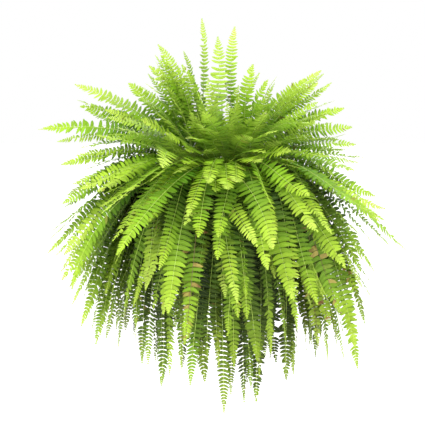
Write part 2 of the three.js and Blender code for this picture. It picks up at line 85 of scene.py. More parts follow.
# %% Floor, world and lamps
scene = bpy.context.scene
scene.view_settings.view_transform = "Standard"


class Term:
    """What a node gives. Sums and products of it are written as such and become Math nodes."""

    def __init__(self, socket):
        self.socket = socket

    def maths(self, operation, *others):
        """What a Math node makes of this and of other terms or numbers."""
        return give(self.socket.id_data, "ShaderNodeMath", dict(enumerate((self, *others))), operation=operation)

    def __add__(self, other):
        return self.maths("ADD", other)

    def __sub__(self, other):
        return self.maths("SUBTRACT", other)

    def __rsub__(self, other):
        return give(self.socket.id_data, "ShaderNodeMath", {0: other, 1: self}, operation="SUBTRACT")

    def __mul__(self, other):
        return self.maths("MULTIPLY", other)

    def __gt__(self, other):
        return self.maths("GREATER_THAN", other)

    def clamped(self):
        """The same, kept between 0 and 1."""
        self.socket.node.use_clamp = True
        return self


def add_node(tree, kind, inputs=None, **settings):
    """One node with its settings, and its inputs set to values or linked to what other nodes give."""
    node = tree.nodes.new(kind)
    for key, value in settings.items():
        setattr(node, key, value)
    for key, value in (inputs or {}).items():
        if isinstance(value, Term):
            tree.links.new(value.socket, node.inputs[key])
        else:
            node.inputs[key].default_value = value
    return node


def give(tree, kind, inputs=None, output=0, **settings):
    """What one output of a new node gives."""
    return Term(add_node(tree, kind, inputs, **settings).outputs[output])


def new_material(name):
    """A material whose tree is still empty."""
    material = bpy.data.materials.new(name)
    material.use_nodes = True
    material.node_tree.nodes.clear()
    return material, material.node_tree


def make_object(name, corners, faces=(), edges=()):
    """An object with a new mesh."""
    mesh = bpy.data.meshes.new(name)
    mesh.from_pydata([tuple(corner) for corner in corners], edges, faces)
    return bpy.data.objects.new(name, mesh)


FLOOR_HEIGHT, FLOOR_REACH = -1.6, 30
floor = make_object("floor", [(x * FLOOR_REACH, y * FLOOR_REACH, FLOOR_HEIGHT)
                              for x, y in ((-1, -1), (1, -1), (1, 1), (-1, 1))], [(0, 1, 2, 3)])
scene.collection.objects.link(floor)
white, tree = new_material("floor_white")
paint = give(tree, "ShaderNodeBsdfPrincipled", {"Base Color": (0.9, 0.9, 0.9, 1), "Roughness": 0.9,
                                               "Emission Color": (1, 1, 1, 1), "Emission Strength": 0.45})
add_node(tree, "ShaderNodeOutputMaterial", {"Surface": paint})
floor.data.materials.append(white)

world = bpy.data.worlds.new("studio")
world.use_nodes = True
world.node_tree.nodes["Background"].inputs["Color"].default_value = (1, 1, 1, 1)
world.node_tree.nodes["Background"].inputs["Strength"].default_value = 1.0
scene.world = world

PLANT_MIDDLE = Vector((0, 0, -0.256))


def add_lamp(name, place, power, size):
    """A square area lamp that faces the plant."""
    lamp = bpy.data.lights.new(name, "AREA")
    lamp.energy = power
    lamp.size = size
    holder = bpy.data.objects.new(name, lamp)
    holder.location = place
    holder.rotation_euler = (PLANT_MIDDLE - Vector(place)).to_track_quat("-Z", "Y").to_euler()
    scene.collection.objects.link(holder)


add_lamp("key_lamp", (-0.9, -2.1, 2.2), 74, 1.2)
add_lamp("front_lamp", (0.4, -2.8, -0.2), 12, 1.2)
add_lamp("right_lamp", (2.4, -1.3, 0.4), 38, 1.2)
add_lamp("left_lamp", (-2.4, -1.3, 0.0), 32, 1.2)
add_lamp("back_lamp", (0.5, 2.4, 1.5), 50, 1.5)
print("lamps", len(bpy.data.lights))

# %% [markdown]
# ## The camera
#
# The photograph was taken from the front, about five degrees from above. One of its pixels is 2.5 mm at the
# middle of the plant, and that middle lies at pixel (222, 185). The lens and a small shift put it there.

# %% Camera
FRAME_PIXELS = 425
PIXEL = 0.0025
DISTANCE = 2.6
ELEVATION = math.radians(5)
MIDDLE_PIXEL = (222, 185)

camera_data = bpy.data.cameras.new("camera")
camera_data.lens = camera_data.sensor_width * DISTANCE / (FRAME_PIXELS * PIXEL)
camera_data.shift_x = (FRAME_PIXELS / 2 - MIDDLE_PIXEL[0]) / FRAME_PIXELS
camera_data.shift_y = (MIDDLE_PIXEL[1] - FRAME_PIXELS / 2) / FRAME_PIXELS
camera = bpy.data.objects.new("camera", camera_data)
camera.location = PLANT_MIDDLE + Vector((0, -math.cos(ELEVATION), math.sin(ELEVATION))) * DISTANCE
camera.rotation_euler = (math.pi / 2 - ELEVATION, 0, 0)
scene.collection.objects.link(camera)
scene.camera = camera
print("lens", round(camera_data.lens, 1), "mm")

# %% [markdown]
# ## The rule that places the fronds
#
# A frond can't be guessed from outside a mass like this one, so its rib is made again by the rule that made the
# solids. Crowns stand in the soil in a spiral. Each frond aims at a tip, starts from a crown near it and arches
# over. A seeded draw strays from the aim until the frond lies clear of all that came before. The same numbers
# in the same order give the same ribs. This part works in millimetres from the pot's base, as the solids' own
# source does.

# %% Sizes of the plant
POT_HEIGHT = 190
POT_BASE_RADIUS = 88
POT_MOUTH_RADIUS = 118
POT_WALL = 2
FLANGE_RADIUS = 127
FLANGE_THICKNESS = 4
SOIL_TOP = 172
WIRE_CIRCLE = 121.5
WIRE_AZIMUTHS = (60, 180, 300)
RING_HEIGHT = 392
RING_RADIUS = 11
HOOK_ROD_RADIUS = 1.8
HOOK_NECK = 12
HOOK_CURL_RADIUS = 13
HOOK_TOP = RING_HEIGHT + HOOK_NECK + 2 * HOOK_CURL_RADIUS
HOOK_SEAT = HOOK_TOP - HOOK_ROD_RADIUS
CROWNS = 46
CROWN_SPREAD = 100
STALK_FOOT = 3
FRONDS_PER_CROWN = 5
GOLDEN_ANGLE = 137.508
STALK_SHARE = 0.3
BLADE_END = 0.985
BLADE_WIDTH = 63
LEAFLET_FOLD = math.radians(14)


def to_frame(points):
    """Millimetres from the pot's base, as metres in the frame."""
    return (np.asarray(points, dtype=float) - (0, 0, HOOK_SEAT)) / 1000


def mix(a, b, share):
    """The number that lies a share of the way from a to b."""
    return a + (b - a) * share


def clamp(value, low, high):
    """A number kept between two limits."""
    return min(high, max(low, value))


def radians(degrees):
    """Degrees as radians, worked out in the same order as in the solids' source."""
    return degrees * math.pi / 180


def direction(azimuth, slope):
    """A direction from its azimuth, 0 toward the viewer and 90 to the right, and its slope above level."""
    level = math.cos(radians(slope))
    return np.array((math.sin(radians(azimuth)) * level, -math.cos(radians(azimuth)) * level,
                     math.sin(radians(slope))))


def azimuth_of(point):
    """The azimuth of a point or a direction."""
    return math.atan2(point[0], -point[1]) * 180 / math.pi


# %% How a rib arches
RISE_INNER, RISE_OUTER = 86, 54
FOLLOW_CROWN = 0.6
TIP_SLOPE, DROOP = 1.15, 20
STEEPEST_DOWN, STEEPEST_UP = -88, 85
FULL_HANG = 60
HANGING_HANDLES = (160, 190)
RISING_HANDLE = 0.38
TIP_HANDLES = (0.3, 0.42)
RIB_STEPS, NUDGE = 200, 0.0001


def measure_tip(tip):
    """How far a tip lies from the soil's middle, level and in all, and its slope above level."""
    level = math.hypot(tip[0], tip[1])
    height = tip[2] - SOIL_TOP
    return level, math.atan2(height, level) * 180 / math.pi, math.hypot(level, height)


def rib_handles(base, tip, wander):
    """The four points of the curve that a rib follows: up from its crown, over and out or down to its tip."""
    _, slope, reach = measure_tip(tip)
    side, rise, fall = wander
    azimuth = azimuth_of(tip)
    out = math.hypot(base[0], base[1]) / CROWN_SPREAD
    lean = direction(azimuth, 0) * (1 - FOLLOW_CROWN * out) + direction(azimuth_of(base), 0) * (FOLLOW_CROWN * out)
    leave = direction(azimuth_of(lean) + side, mix(RISE_INNER, RISE_OUTER, out) + rise)
    end = direction(azimuth - side, clamp(TIP_SLOPE * slope - DROOP + fall, STEEPEST_DOWN, STEEPEST_UP))
    hang = clamp(-slope / FULL_HANG, 0, 1)
    first = mix(*HANGING_HANDLES, hang) if slope < 0 else RISING_HANDLE * reach
    second = mix(*TIP_HANDLES, hang) * reach
    return np.array((base, base + leave * first, tip - end * second, tip))


def rib_points(handles, shares):
    """Points on a rib's curve at some shares of the way from its crown to its tip."""
    t = np.asarray(shares, dtype=float)[:, None]
    k = 1 - t
    one, two, three, four = handles
    return k * k * k * one + 3 * k * k * t * two + 3 * k * t * t * three + t * t * t * four


def rib_directions(handles, shares):
    """The rib's directions at those shares, each of length 1."""
    shares = np.asarray(shares, dtype=float)
    along = rib_points(handles, np.minimum(shares + NUDGE, 1)) - rib_points(handles, np.maximum(shares - NUDGE, 0))
    return along / np.linalg.norm(along, axis=1)[:, None]


def rib_length(handles):
    """How long a rib is."""
    points = rib_points(handles, np.linspace(0, 1, RIB_STEPS + 1))
    return np.linalg.norm(np.diff(points, axis=0), axis=1).sum()


# %% [markdown]
# A blade is narrow at its foot, widest at a third and rounded at the tip. It lies across its rib, turned toward
# the light, and its leaflets fold up a little on both sides.

# %% The blade across its rib
BLADE_FOOT, WIDEST_AT = 0.15, 0.3
TAPER_LATE, TAPER_ROUND = 3, 0.8
TURN_RATE = 2.5


def blade_shape(share):
    """The blade's width as a share of its widest, from its foot, 0, to its tip, 1."""
    share = np.asarray(share, dtype=float)
    foot = mix(BLADE_FOOT, 1, np.clip(share / WIDEST_AT, 0, 1))
    return foot * np.maximum(1 - share ** TAPER_LATE, 0) ** TAPER_ROUND


def frond_places(frond, shares):
    """Points, directions along, across and above, and half widths at some shares of a frond's rib."""
    handles, shares = frond["handles"], np.asarray(shares, dtype=float)
    points = rib_points(handles, shares)
    along = rib_directions(handles, shares)
    level = np.cross(direction(azimuth_of(frond["tip"]), 0), (0, 0, 1))
    flat = level - along * (along @ level)[:, None]
    flat /= np.linalg.norm(flat, axis=1)[:, None]
    turn = np.radians(frond["turn"] * np.clip(shares * TURN_RATE, 0, 1))[:, None]
    side = flat * np.cos(turn) + np.cross(along, flat) * np.sin(turn)
    above = np.cross(side, along)
    in_blade = (shares - STALK_SHARE) / (1 - STALK_SHARE)
    half = np.where(in_blade < -1e-9, 0, frond["width"] / 2 * blade_shape(np.maximum(in_blade, 0)))
    return points, along, side, above, half


# %% [markdown]
# The space that is taken is kept in small cells. A frond covers cells over its stalk and its whole blade, and
# may pass only where nothing else is, clear of the pot, the soil and the hanger.

# %% Space
COVER_STEP, COVER_ACROSS = 4, 8
SHARED_REACH = 110
CELL, SPACE_CELLS = 3, 370
SPACE_LOW = np.array((-555, -555, SOIL_TOP - 620))
LEAFLET_PITCH, FEWEST_PAIRS, MOST_PAIRS = 62, 4, 12
FLANGE_ROOM, POT_ROOM, SOIL_ROOM = 7, 5, 1

space = np.zeros(SPACE_CELLS ** 3, dtype=np.int8)
offsets = np.array([(i, j, k) for i in (-1, 0, 1) for j in (-1, 0, 1) for k in (-1, 0, 1)])
steps_near = (offsets * (SPACE_CELLS ** 2, SPACE_CELLS, 1)).sum(1)
steps_stalk = steps_near[np.abs(offsets).sum(1) < 2]


def cell_of(points):
    """The number of the cell that each point lies in."""
    i, j, k = np.floor((points - SPACE_LOW) / CELL).astype(np.int64).T
    return (i * SPACE_CELLS + j) * SPACE_CELLS + k


def take(points, owner, steps):
    """Gives an owner the free cells at some steps from each point."""
    cells = (cell_of(points)[:, None] + steps).ravel()
    space[cells[space[cells] == 0]] = owner


def is_free(points, base, owner, contact=0):
    """Whether points are clear of the pot and the hanger, and at most a share of them in taken space."""
    found = space[cell_of(points)]
    shared = (found == owner) & (np.linalg.norm(points - base, axis=1) < SHARED_REACH)
    if ((found != 0) & ~shared).mean() > contact or (found < 0).any():
        return False
    radius = np.hypot(points[:, 0], points[:, 1])
    height = points[:, 2]
    over_soil = (radius < POT_MOUTH_RADIUS - POT_ROOM) & (height > SOIL_TOP + SOIL_ROOM)
    level = (height < POT_HEIGHT + POT_ROOM) & (height > -POT_ROOM)
    return not ((radius < FLANGE_RADIUS + FLANGE_ROOM) & level & ~over_soil).any()


def frond_stations(frond):
    """The few places where the solid's rib bends: points, directions across and above, and half widths."""
    blade = (1 - STALK_SHARE) * rib_length(frond["handles"])
    pairs = int(clamp(math.floor(blade / LEAFLET_PITCH + 0.5), FEWEST_PAIRS, MOST_PAIRS))
    shares = [0, STALK_SHARE / 2] + [mix(STALK_SHARE, BLADE_END, i / pairs) for i in range(pairs + 1)]
    points, _, side, above, half = frond_places(frond, shares)
    half[:2] = 0
    return points, side, above, half


def cover_frond(points, side, above, half):
    """Points over the stalk and points over the blade."""
    covers = ([], [])
    reach_steps = np.arange(-COVER_ACROSS, COVER_ACROSS + 1)
    for i in range(len(points) - 1):
        steps = math.ceil(np.linalg.norm(points[i + 1] - points[i]) / COVER_STEP)
        part = (np.arange(steps) / steps)[:, None]
        centre = points[i] + (points[i + 1] - points[i]) * part
        if half[i] == 0:
            covers[0].append(centre)
            continue
        reach = mix(half[i], half[i + 1], part) * reach_steps / COVER_ACROSS
        across = centre[:, None] + side[i] * reach[:, :, None]
        covers[1].append((across + above[i] * (np.abs(reach) * math.tan(LEAFLET_FOLD))[:, :, None]).reshape(-1, 3))
    return np.concatenate(covers[0]), np.concatenate(covers[1])


# %% Crowns and tries
CROWN_CHOICES = 6
INWARD_SLOPES = (-30, 90)
TRIES, STRAY_STEP, MOST_STRAY = 120, 0.3, 34
STRAY_RISE, STRAY_FALL = 0.8, 0.8
SEED, DRAW_FACTOR, DRAW_STEP, DRAW_RANGE = 20292, 1664525, 1013904223, 2 ** 32

crowns = []
for i in range(CROWNS):
    base = direction(i * GOLDEN_ANGLE, 0) * (CROWN_SPREAD * math.sqrt((i + 0.5) / CROWNS))
    base[2] = SOIL_TOP + STALK_FOOT
    crowns.append({"owner": i + 1, "base": base, "fronds": []})

draw_state = SEED


def draw():
    """Numbers from -1 to 1 in a fixed order."""
    global draw_state
    draw_state = (draw_state * DRAW_FACTOR + DRAW_STEP) % DRAW_RANGE
    return draw_state / DRAW_RANGE * 2 - 1


def crowns_for(tip, most):
    """The crowns with fewer fronds than the most, the one nearest to where a frond of this tip grows first."""
    level, slope, _ = measure_tip(tip)
    inward = clamp((slope - INWARD_SLOPES[0]) / (INWARD_SLOPES[1] - INWARD_SLOPES[0]), 0, 1)
    scale = CROWN_SPREAD * (1 - inward) / level

    def gap(crown):
        return math.hypot(crown["base"][0] - tip[0] * scale, crown["base"][1] - tip[1] * scale)

    return sorted((crown for crown in crowns if len(crown["fronds"]) < most), key=gap)[:CROWN_CHOICES]


def place_frond(aim, turn, width, loose, tries=TRIES, most=FRONDS_PER_CROWN, contact=0):
    """Tries a frond with its tip at its aim, then with more and more stray, until it lies clear."""
    choices = crowns_for(aim, most)
    for i in range(tries if choices else 0):
        stray = loose + min(STRAY_STEP * i, MOST_STRAY)
        crown = choices[i % len(choices)]
        tip = np.array((draw(), draw(), draw())) * stray + aim
        wander = (draw() * stray, draw() * STRAY_RISE * stray, draw() * STRAY_FALL * stray)
        frond = {"tip": tip, "turn": turn + draw() * stray, "width": width, "young": int(contact > 0),
                 "handles": rib_handles(crown["base"], tip, wander)}
        stations = frond_stations(frond)
        if not is_free(stations[0][:-1], crown["base"], crown["owner"], 2 * contact):
            continue
        stalk, blade = cover_frond(*stations)
        if all(is_free(points, crown["base"], crown["owner"], contact) for points in (stalk, blade)):
            take(stalk, crown["owner"], steps_stalk)
            take(blade, crown["owner"], steps_near)
            crown["fronds"].append(frond)
            return


# %% [markdown]
# The fronds that show singly from the front have their tips listed here, as across to the right, toward the
# viewer, up from the soil, and the turn of the blade toward the viewer in degrees. The rest fill the plant
# evenly all round.

# %% Fronds
FRONT_FRONDS = """
4 170 -530 10, 84 140 -512 20, -47 165 -462 15, -150 120 -480 40, -47 -10 410 -20, 32 -20 393 -10,
-22 20 360 30, 76 20 298 40, -152 30 318 50, -183 -60 298 60, -115 20 300 60, -235 -30 252 50,
-370 -40 250 30, -365 -90 195 15, -440 20 145 50, -400 10 52 30, -395 20 -45 35, 325 -20 145 40,
310 -60 190 35, 240 -40 255 30, 155 60 235 30, 105 40 255 40, 160 60 -480 60, -320 0 -405 60,
-350 40 -350 65, 345 0 -468 60, 330 80 -395 55, 80 -150 -490 30, 185 -60 -500 50, -65 150 -445 25,
-80 110 -465 15, 118 60 -420 20, 40 100 -400 10, 110 170 -350 15, 205 80 -360 30, 245 30 -380 40,
305 50 -355 50, 265 110 -330 40, -215 110 -330 40, -290 70 -260 50, -432 30 -168 40, -395 60 -230 60,
465 -20 -165 20, 375 40 -25 45, 350 -80 52 5, 372 40 -212 40, -255 110 -320 40, 35 300 -270 0,
80 200 -395 15, -140 260 -270 10, 160 280 -235 15, 220 230 -255 25, 280 150 -295 40, 285 200 -175 35,
-55 330 -85 0, 10 330 20 0, 100 340 -155 10, 120 330 -115 15, 215 280 -80 20, -165 250 -60 15,
-220 220 -90 20, -245 150 -170 35, 65 300 -10 10, -70 280 -25 10, 195 240 -5 20, -255 60 145 30,
-305 80 115 30, -360 60 15 25, -290 180 0 20, -390 -40 -265 45, 255 140 80 25, 230 60 205 30,
225 -100 260 20, -205 60 235 25, -40 60 195 50, 45 120 155 20, 85 130 150 35, -190 110 175 30,
-95 150 150 20, -130 160 135 25, 155 200 95 20, -15 180 125 10, -85 240 70 10, 90 240 70 15
"""
FRONT_WIDTH, FRONT_WIDTH_SPREAD = 1, 0.1
FILLER_FRONDS, FILLER_STRIDE, FILLER_LOOSE = 200, 89, 12
FILLER_SINES = (-0.98, 0.97)
FILLER_NEAREST, FILLER_SWING, FILLER_TURN = 0.66, 8, 35
FILLER_WIDTH, FILLER_WIDTH_SPREAD = 0.95, 0.15
HANGING_CIRCLE = 165
REACH_LEVEL, REACH_LOSS_ABOVE, REACH_GAIN_BELOW, REACH_GAIN_POWER = 405, 150, 120, 1.2
WIRE_STEPS = 100
PAST_SOLID = 0.04


def filler_aim(order):
    """Where a filler frond's tip aims, spread out from the pot if it hangs."""
    slope = math.asin(mix(*FILLER_SINES, (order + 0.5) / FILLER_FRONDS)) * 180 / math.pi
    azimuth = 180 + order * GOLDEN_ANGLE + FILLER_SWING * draw()
    sine = math.sin(radians(slope))
    gain = REACH_GAIN_BELOW * max(-sine, 0) ** REACH_GAIN_POWER
    reach = REACH_LEVEL - REACH_LOSS_ABOVE * max(sine, 0) + gain
    aim = direction(azimuth, slope) * (reach * mix(FILLER_NEAREST, 1, math.sqrt(abs(draw()))))
    if slope < 0:
        aim[:2] *= max(HANGING_CIRCLE / math.hypot(aim[0], aim[1]), 1)
    aim[2] += SOIL_TOP
    return aim


for azimuth in WIRE_AZIMUTHS:
    foot = direction(azimuth, 0) * WIRE_CIRCLE + (0, 0, POT_HEIGHT)
    head = direction(azimuth, 0) * RING_RADIUS + (0, 0, RING_HEIGHT)
    take(foot + (head - foot) * (np.arange(WIRE_STEPS + 1) / WIRE_STEPS)[:, None], -1, steps_near)
take(np.array([(across, 0, height) for height in range(RING_HEIGHT, HOOK_TOP + CELL + 1, CELL)
               for across in range(-HOOK_CURL_RADIUS, HOOK_CURL_RADIUS + 1, CELL)]), -1, steps_near)

for row in FRONT_FRONDS.split(","):
    across, toward, up, turn = map(int, row.split())
    width = BLADE_WIDTH * (FRONT_WIDTH + FRONT_WIDTH_SPREAD * draw())
    place_frond(np.array((across, -toward, SOIL_TOP + up)), turn * np.sign(across), width, 0)
for i in range(FILLER_FRONDS):
    aim = filler_aim(i * FILLER_STRIDE % FILLER_FRONDS)
    width = BLADE_WIDTH * (FILLER_WIDTH + FILLER_WIDTH_SPREAD * draw())
    place_frond(aim, FILLER_TURN * draw(), width, FILLER_LOOSE)

planted = [crown for crown in crowns if crown["fronds"]]
print("fronds", sum(len(crown["fronds"]) for crown in planted), "in crowns", len(planted))
for name, crown in zip(frond_names, planted):
    low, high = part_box(name)
    tips = to_frame([frond["tip"] for frond in crown["fronds"]])
    if (tips < np.array(low) - PAST_SOLID).any() or (tips > np.array(high) + PAST_SOLID).any():
        print("rib outside its solid", name)

# %% [markdown]
# ## Young fronds
#
# Among the long fronds grow younger ones, which fill the plant: companions beside those that show singly, some
# placed one by one where its edge or its crown was thin, many others a little shorter and narrower, and short ones
# that cover the crowns. The ones placed one by one are listed as across, toward the viewer and up from the soil. All
# follow the same rule from the same crowns, but being soft they may touch the others a little.

# %% Young fronds
COMPANIONS, COMPANION_STRAY, COMPANION_REACH, LONE_RISE = 3, 38, (0.85, 0.98), 330
YOUNG_FRONDS = ((260, (0.74, 1.0), (42, 58)), (150, (0.3, 0.62), (32, 46)))
YOUNG_TRIES, YOUNG_CONTACT, YOUNG_PER_CROWN = 14, 0.27, 16
COMPANION_WIDTHS = (44, 58)
EDGE_TRIES, EDGE_CONTACT, EDGE_WIDTH, EDGE_LOOSE = 40, 0.5, 56, 4
EDGE_FRONDS = """
-430 40 -138, -405 20 -212, -368 60 -288, -342 10 -338, -300 60 -300, -385 90 -160, -360 -40 -240, -410 80 -100,
-400 -40 -60, -380 60 -20, 295 60 -200, 308 20 -262, 258 40 -338, 220 60 -388, 340 100 -130, 330 -20 -300,
300 -60 -370, 350 60 -250, 270 -80 -400, -218 20 -375, -205 -30 -412, -155 60 -312, -92 190 -362, -42 -170 -375,
32 180 -412, 158 60 -362, 195 80 -312, 120 -140 -440, -120 -170 -400, 60 190 -340, -20 -200 -400, -170 -80 -440,
230 -40 -420, 0 -190 -460, 90 170 -440, -250 -60 -380, -155 20 288, -142 60 250, -205 40 250, -170 -40 310,
-120 80 220, 130 20 270, 265 40 180, 240 -20 230, -40 80 260, -40 150 90, 10 170 60, 60 140 80, -90 120 100,
100 130 90, -10 110 130, 40 90 150, -60 100 140, 150 80 120, -140 90 130, 90 90 150, -200 70 80, 190 80 90,
-310 20 -380, -270 -60 -430, 250 -80 -440, 380 20 -140, 60 -180 -430, -70 -160 -440, 170 -60 -420, -300 -20 -330,
350 -20 -200, 390 40 -90, -420 -20 -180, -350 100 -220, 130 -160 -380, -100 180 -420, 260 60 -300, 320 60 -160,
-285 60 -345, -270 -20 -370, -345 30 -285, -150 120 -420, -150 -60 -400, 290 20 -410, 285 80 -370, 350 0 -290,
345 80 -240, -345 40 50, -285 0 190, -275 60 170, 120 100 -400, 60 -170 -400, 230 100 -390, -10 180 -420,
305 30 -440, 330 60 -420, 275 -30 -450, 355 20 -350, 372 40 -300, 335 -40 -400, 300 90 -380, -350 30 -325,
-330 50 -360, -300 10 -380, -155 60 -460, -168 -20 -440, -165 0 325, -150 30 335, -185 20 295, -175 50 280,
380 20 -250, 315 0 -330, -370 -30 -260, -330 80 -260, 265 60 -420, 210 60 -430, -290 90 -360, -260 40 -400,
-320 -30 -300, -240 90 -340, -370 60 -225, -340 60 60, -365 20 75, -330 -20 30, 360 60 -330, -130 150 -440,
-160 90 -430, -140 30 -470, 270 100 -340, -250 0 -360, -210 100 -380, 240 0 -440, 40 -190 -440, -92 40 300,
-80 -30 285, -100 0 330, 90 180 -400, -30 190 -390
"""

soil = np.array((0, 0, SOIL_TOP))
young_aims = []
for row in COMPANIONS * FRONT_FRONDS.split(","):
    across, toward, up, turn = map(int, row.split())
    stray = np.array((draw(), draw(), draw())) * COMPANION_STRAY
    if up < LONE_RISE:
        aim = np.array((across, -toward, up)) * mix(*COMPANION_REACH, abs(draw())) + stray
        young_aims.append((aim, COMPANION_WIDTHS))
for count, reaches, widths in YOUNG_FRONDS:
    for i in range(count):
        young_aims.append(((filler_aim(i * FILLER_FRONDS / count) - soil) * mix(*reaches, abs(draw())), widths))
for row in EDGE_FRONDS.split(","):
    across, toward, up = map(int, row.split())
    place_frond(soil + (across, -toward, up), FILLER_TURN * draw(), EDGE_WIDTH, EDGE_LOOSE, EDGE_TRIES,
                YOUNG_PER_CROWN, EDGE_CONTACT)
for aim, widths in young_aims:
    place_frond(soil + aim, FILLER_TURN * draw(), mix(*widths, abs(draw())), FILLER_LOOSE, YOUNG_TRIES,
                YOUNG_PER_CROWN, YOUNG_CONTACT)
young = [frond for crown in planted for frond in crown["fronds"] if frond["young"]]
print("young fronds", len(young))

# %% [markdown]
# Little light reaches leaves deep inside a plant, so their green is darkened here with painted shade. The taken
# space tells how deep a place lies. From each place the leaves are counted along four ways, in blocks of ten
# cells: outward, upward and outward, downward and outward, and straight up. The lower a leaf hangs the less sky it
# sees and the more painted shade it gets, while the crown's upright fronds and those far out get the least.

# %% Painted shade inside the plant
BLOCK = 10
SHADE_STEPS, SHADE_RATE = 12, 1.6
# Low fronds get more painted shade, and the crown's upright fronds and those far out less.
LOW_SHADE, LOW_DEPTH, LOW_DENSER = 0.25, 350, 2.4
HIGH_LIGHT, HIGH_RISE = 0.8, 50
FAR_LIGHT, FAR_FROM, FAR_WIDTH = 0.5, 200, 130
SKY = ((1, 0.2), (1, 1.2), (0.5, -0.6), (0, 1))
blocks = SPACE_CELLS // BLOCK
filled = (space != 0).reshape(blocks, BLOCK, blocks, BLOCK, blocks, BLOCK).mean((1, 3, 5))


def painted_shade_at(points):
    """How much painted shade some places get, from 0 to 1: the share of the light from above and outside kept off.
    """
    outward = points * (1, 1, 0)
    outward /= np.maximum(np.linalg.norm(outward, axis=1), 1)[:, None]
    low = np.clip((SOIL_TOP - points[:, 2]) / LOW_DEPTH, 0, 1)
    light = 0
    for out, rise in SKY:
        way = outward * out + (0, 0, rise)
        way /= np.linalg.norm(way, axis=1)[:, None]
        leaves = 0
        for step in range(1, SHADE_STEPS):
            place = (points + way * (step * BLOCK * CELL) - SPACE_LOW) / (BLOCK * CELL)
            leaves = leaves + filled[tuple(np.clip(place.astype(int), 0, blocks - 1).T)]
        light = light + np.exp(-SHADE_RATE * (1 + LOW_DENSER * low) * leaves)
    high = HIGH_LIGHT * np.clip((points[:, 2] - SOIL_TOP) / HIGH_RISE, 0, 1)
    far = FAR_LIGHT * np.clip((np.hypot(points[:, 0], points[:, 1]) - FAR_FROM) / FAR_WIDTH, 0, 1)
    return (1 - light / len(SKY) * (1 - LOW_SHADE * low)) * (1 - high) * (1 - far)


probe = np.concatenate([rib_points(frond["handles"], np.linspace(0.3, 1, 8)) for crown in planted
                        for frond in crown["fronds"]])
print("shade", np.percentile(painted_shade_at(probe), (5, 25, 50, 75, 95)).round(2))

# %% [markdown]
# ## Leaflets
#
# A leaflet is a thin pointed blade, broadest near its foot, with a small ear on the side toward the frond's tip.
# It is nearly straight. As there are thousands, one leaflet has only sixteen faces: a few cross-sections of three
# corners, flat above and with a keel below, and a point. The edges are kept sharp, so that the upper side catches
# the light as one. The left row needs mirrored leaflets, so that the ears still point to the frond's tip. Young
# fronds get leaflets with fewer sections.

# %% Leaflet meshes
LEAFLET_ASPECT = 0.26
OUTLINE = (0.0, 0.10, 0.32, 0.60, 0.85)
TIPWARD = (0.14, 0.62, 0.50, 0.43, 0.25)
FOOTWARD = (0.14, 0.38, 0.46, 0.41, 0.23)
LEAFLET_KEEL, KEEL_THINS = 0.03, 0.6
YOUNG_SECTIONS = (0.0, 0.25, 0.7)
# Each form has its own bend to the tip, droop and ripple.
LEAFLET_FORMS = ((0.02, 0.04, 0.008), (0.06, 0.10, 0.012), (0.10, 0.02, 0.010), (-0.02, 0.16, 0.016))


def make_leaflet(name, sections, mirror, bend, droop, wave, seed):
    """One leaflet of length 1 along X, with its upper side toward Z and its tipward edge toward Y."""
    random = np.random.default_rng(seed)
    corners, faces, places = [], [], []
    for x in sections:
        tipward, footward = (np.interp(x, OUTLINE, edge) * LEAFLET_ASPECT for edge in (TIPWARD, FOOTWARD))
        middle, drop = bend * x * x, -droop * x * x
        ripple = wave * random.uniform(-1, 1, 2)
        corners += [(x, mirror * (middle + tipward), drop + ripple[0]),
                    (x, mirror * (middle - footward), drop + ripple[1]),
                    (x, mirror * middle, drop - LEAFLET_KEEL * (1 - KEEL_THINS * x))]
        places += [(x, 1), (x, 0), (x, 0.5)]
    last = len(corners)
    corners.append((1, mirror * bend, -droop))
    places.append((1, 0.5))
    for a in range(0, last - 3, 3):
        faces += [(a + k, a + 3 + k, a + 3 + (k + 1) % 3, a + (k + 1) % 3) for k in range(3)]
    faces += [(last - 3 + k, last, last - 3 + (k + 1) % 3) for k in range(3)]
    faces.append((0, 1, 2))
    if mirror > 0:
        faces = [face[::-1] for face in faces]
    leaflet = make_object(name, corners, faces)
    mesh = leaflet.data
    uv = mesh.uv_layers.new(name="leaflet")
    for face in mesh.polygons:
        under = any(vertex % 3 == 2 and vertex != last for vertex in face.vertices)
        for loop in face.loop_indices:
            u, v = places[mesh.loops[loop].vertex_index]
            uv.data[loop].uv = (u, v + 2 * under)
        face.use_smooth = True
    for edge in mesh.edges:
        edge.use_edge_sharp = all(vertex % 3 != 2 or vertex == last for vertex in edge.vertices)
    return leaflet


def show_solid(name, mesh):
    """Prints a mesh's volume, which is above 0 if its faces look outward, and whether it is closed."""
    sample = bmesh.new()
    sample.from_mesh(mesh)
    print(name, "faces", len(mesh.polygons), "volume", sample.calc_volume(signed=True),
          "open edges", sum(not edge.is_manifold for edge in sample.edges))
    sample.free()


leaflet_rows = {}
for age, sections in (("grown", OUTLINE), ("young", YOUNG_SECTIONS)):
    for row, mirror in (("right", 1), ("left", -1)):
        leaflet_rows[age, row] = bpy.data.collections.new(f"leaflets_{age}_{row}")
        for i, form in enumerate(LEAFLET_FORMS):
            leaflet = make_leaflet(f"leaflet_{age}_{row}_{i}", sections, mirror, *form, 10 * i + 1)
            leaflet_rows[age, row].objects.link(leaflet)
for collection in leaflet_rows.values():
    show_solid(collection.name, collection.objects[0].data)
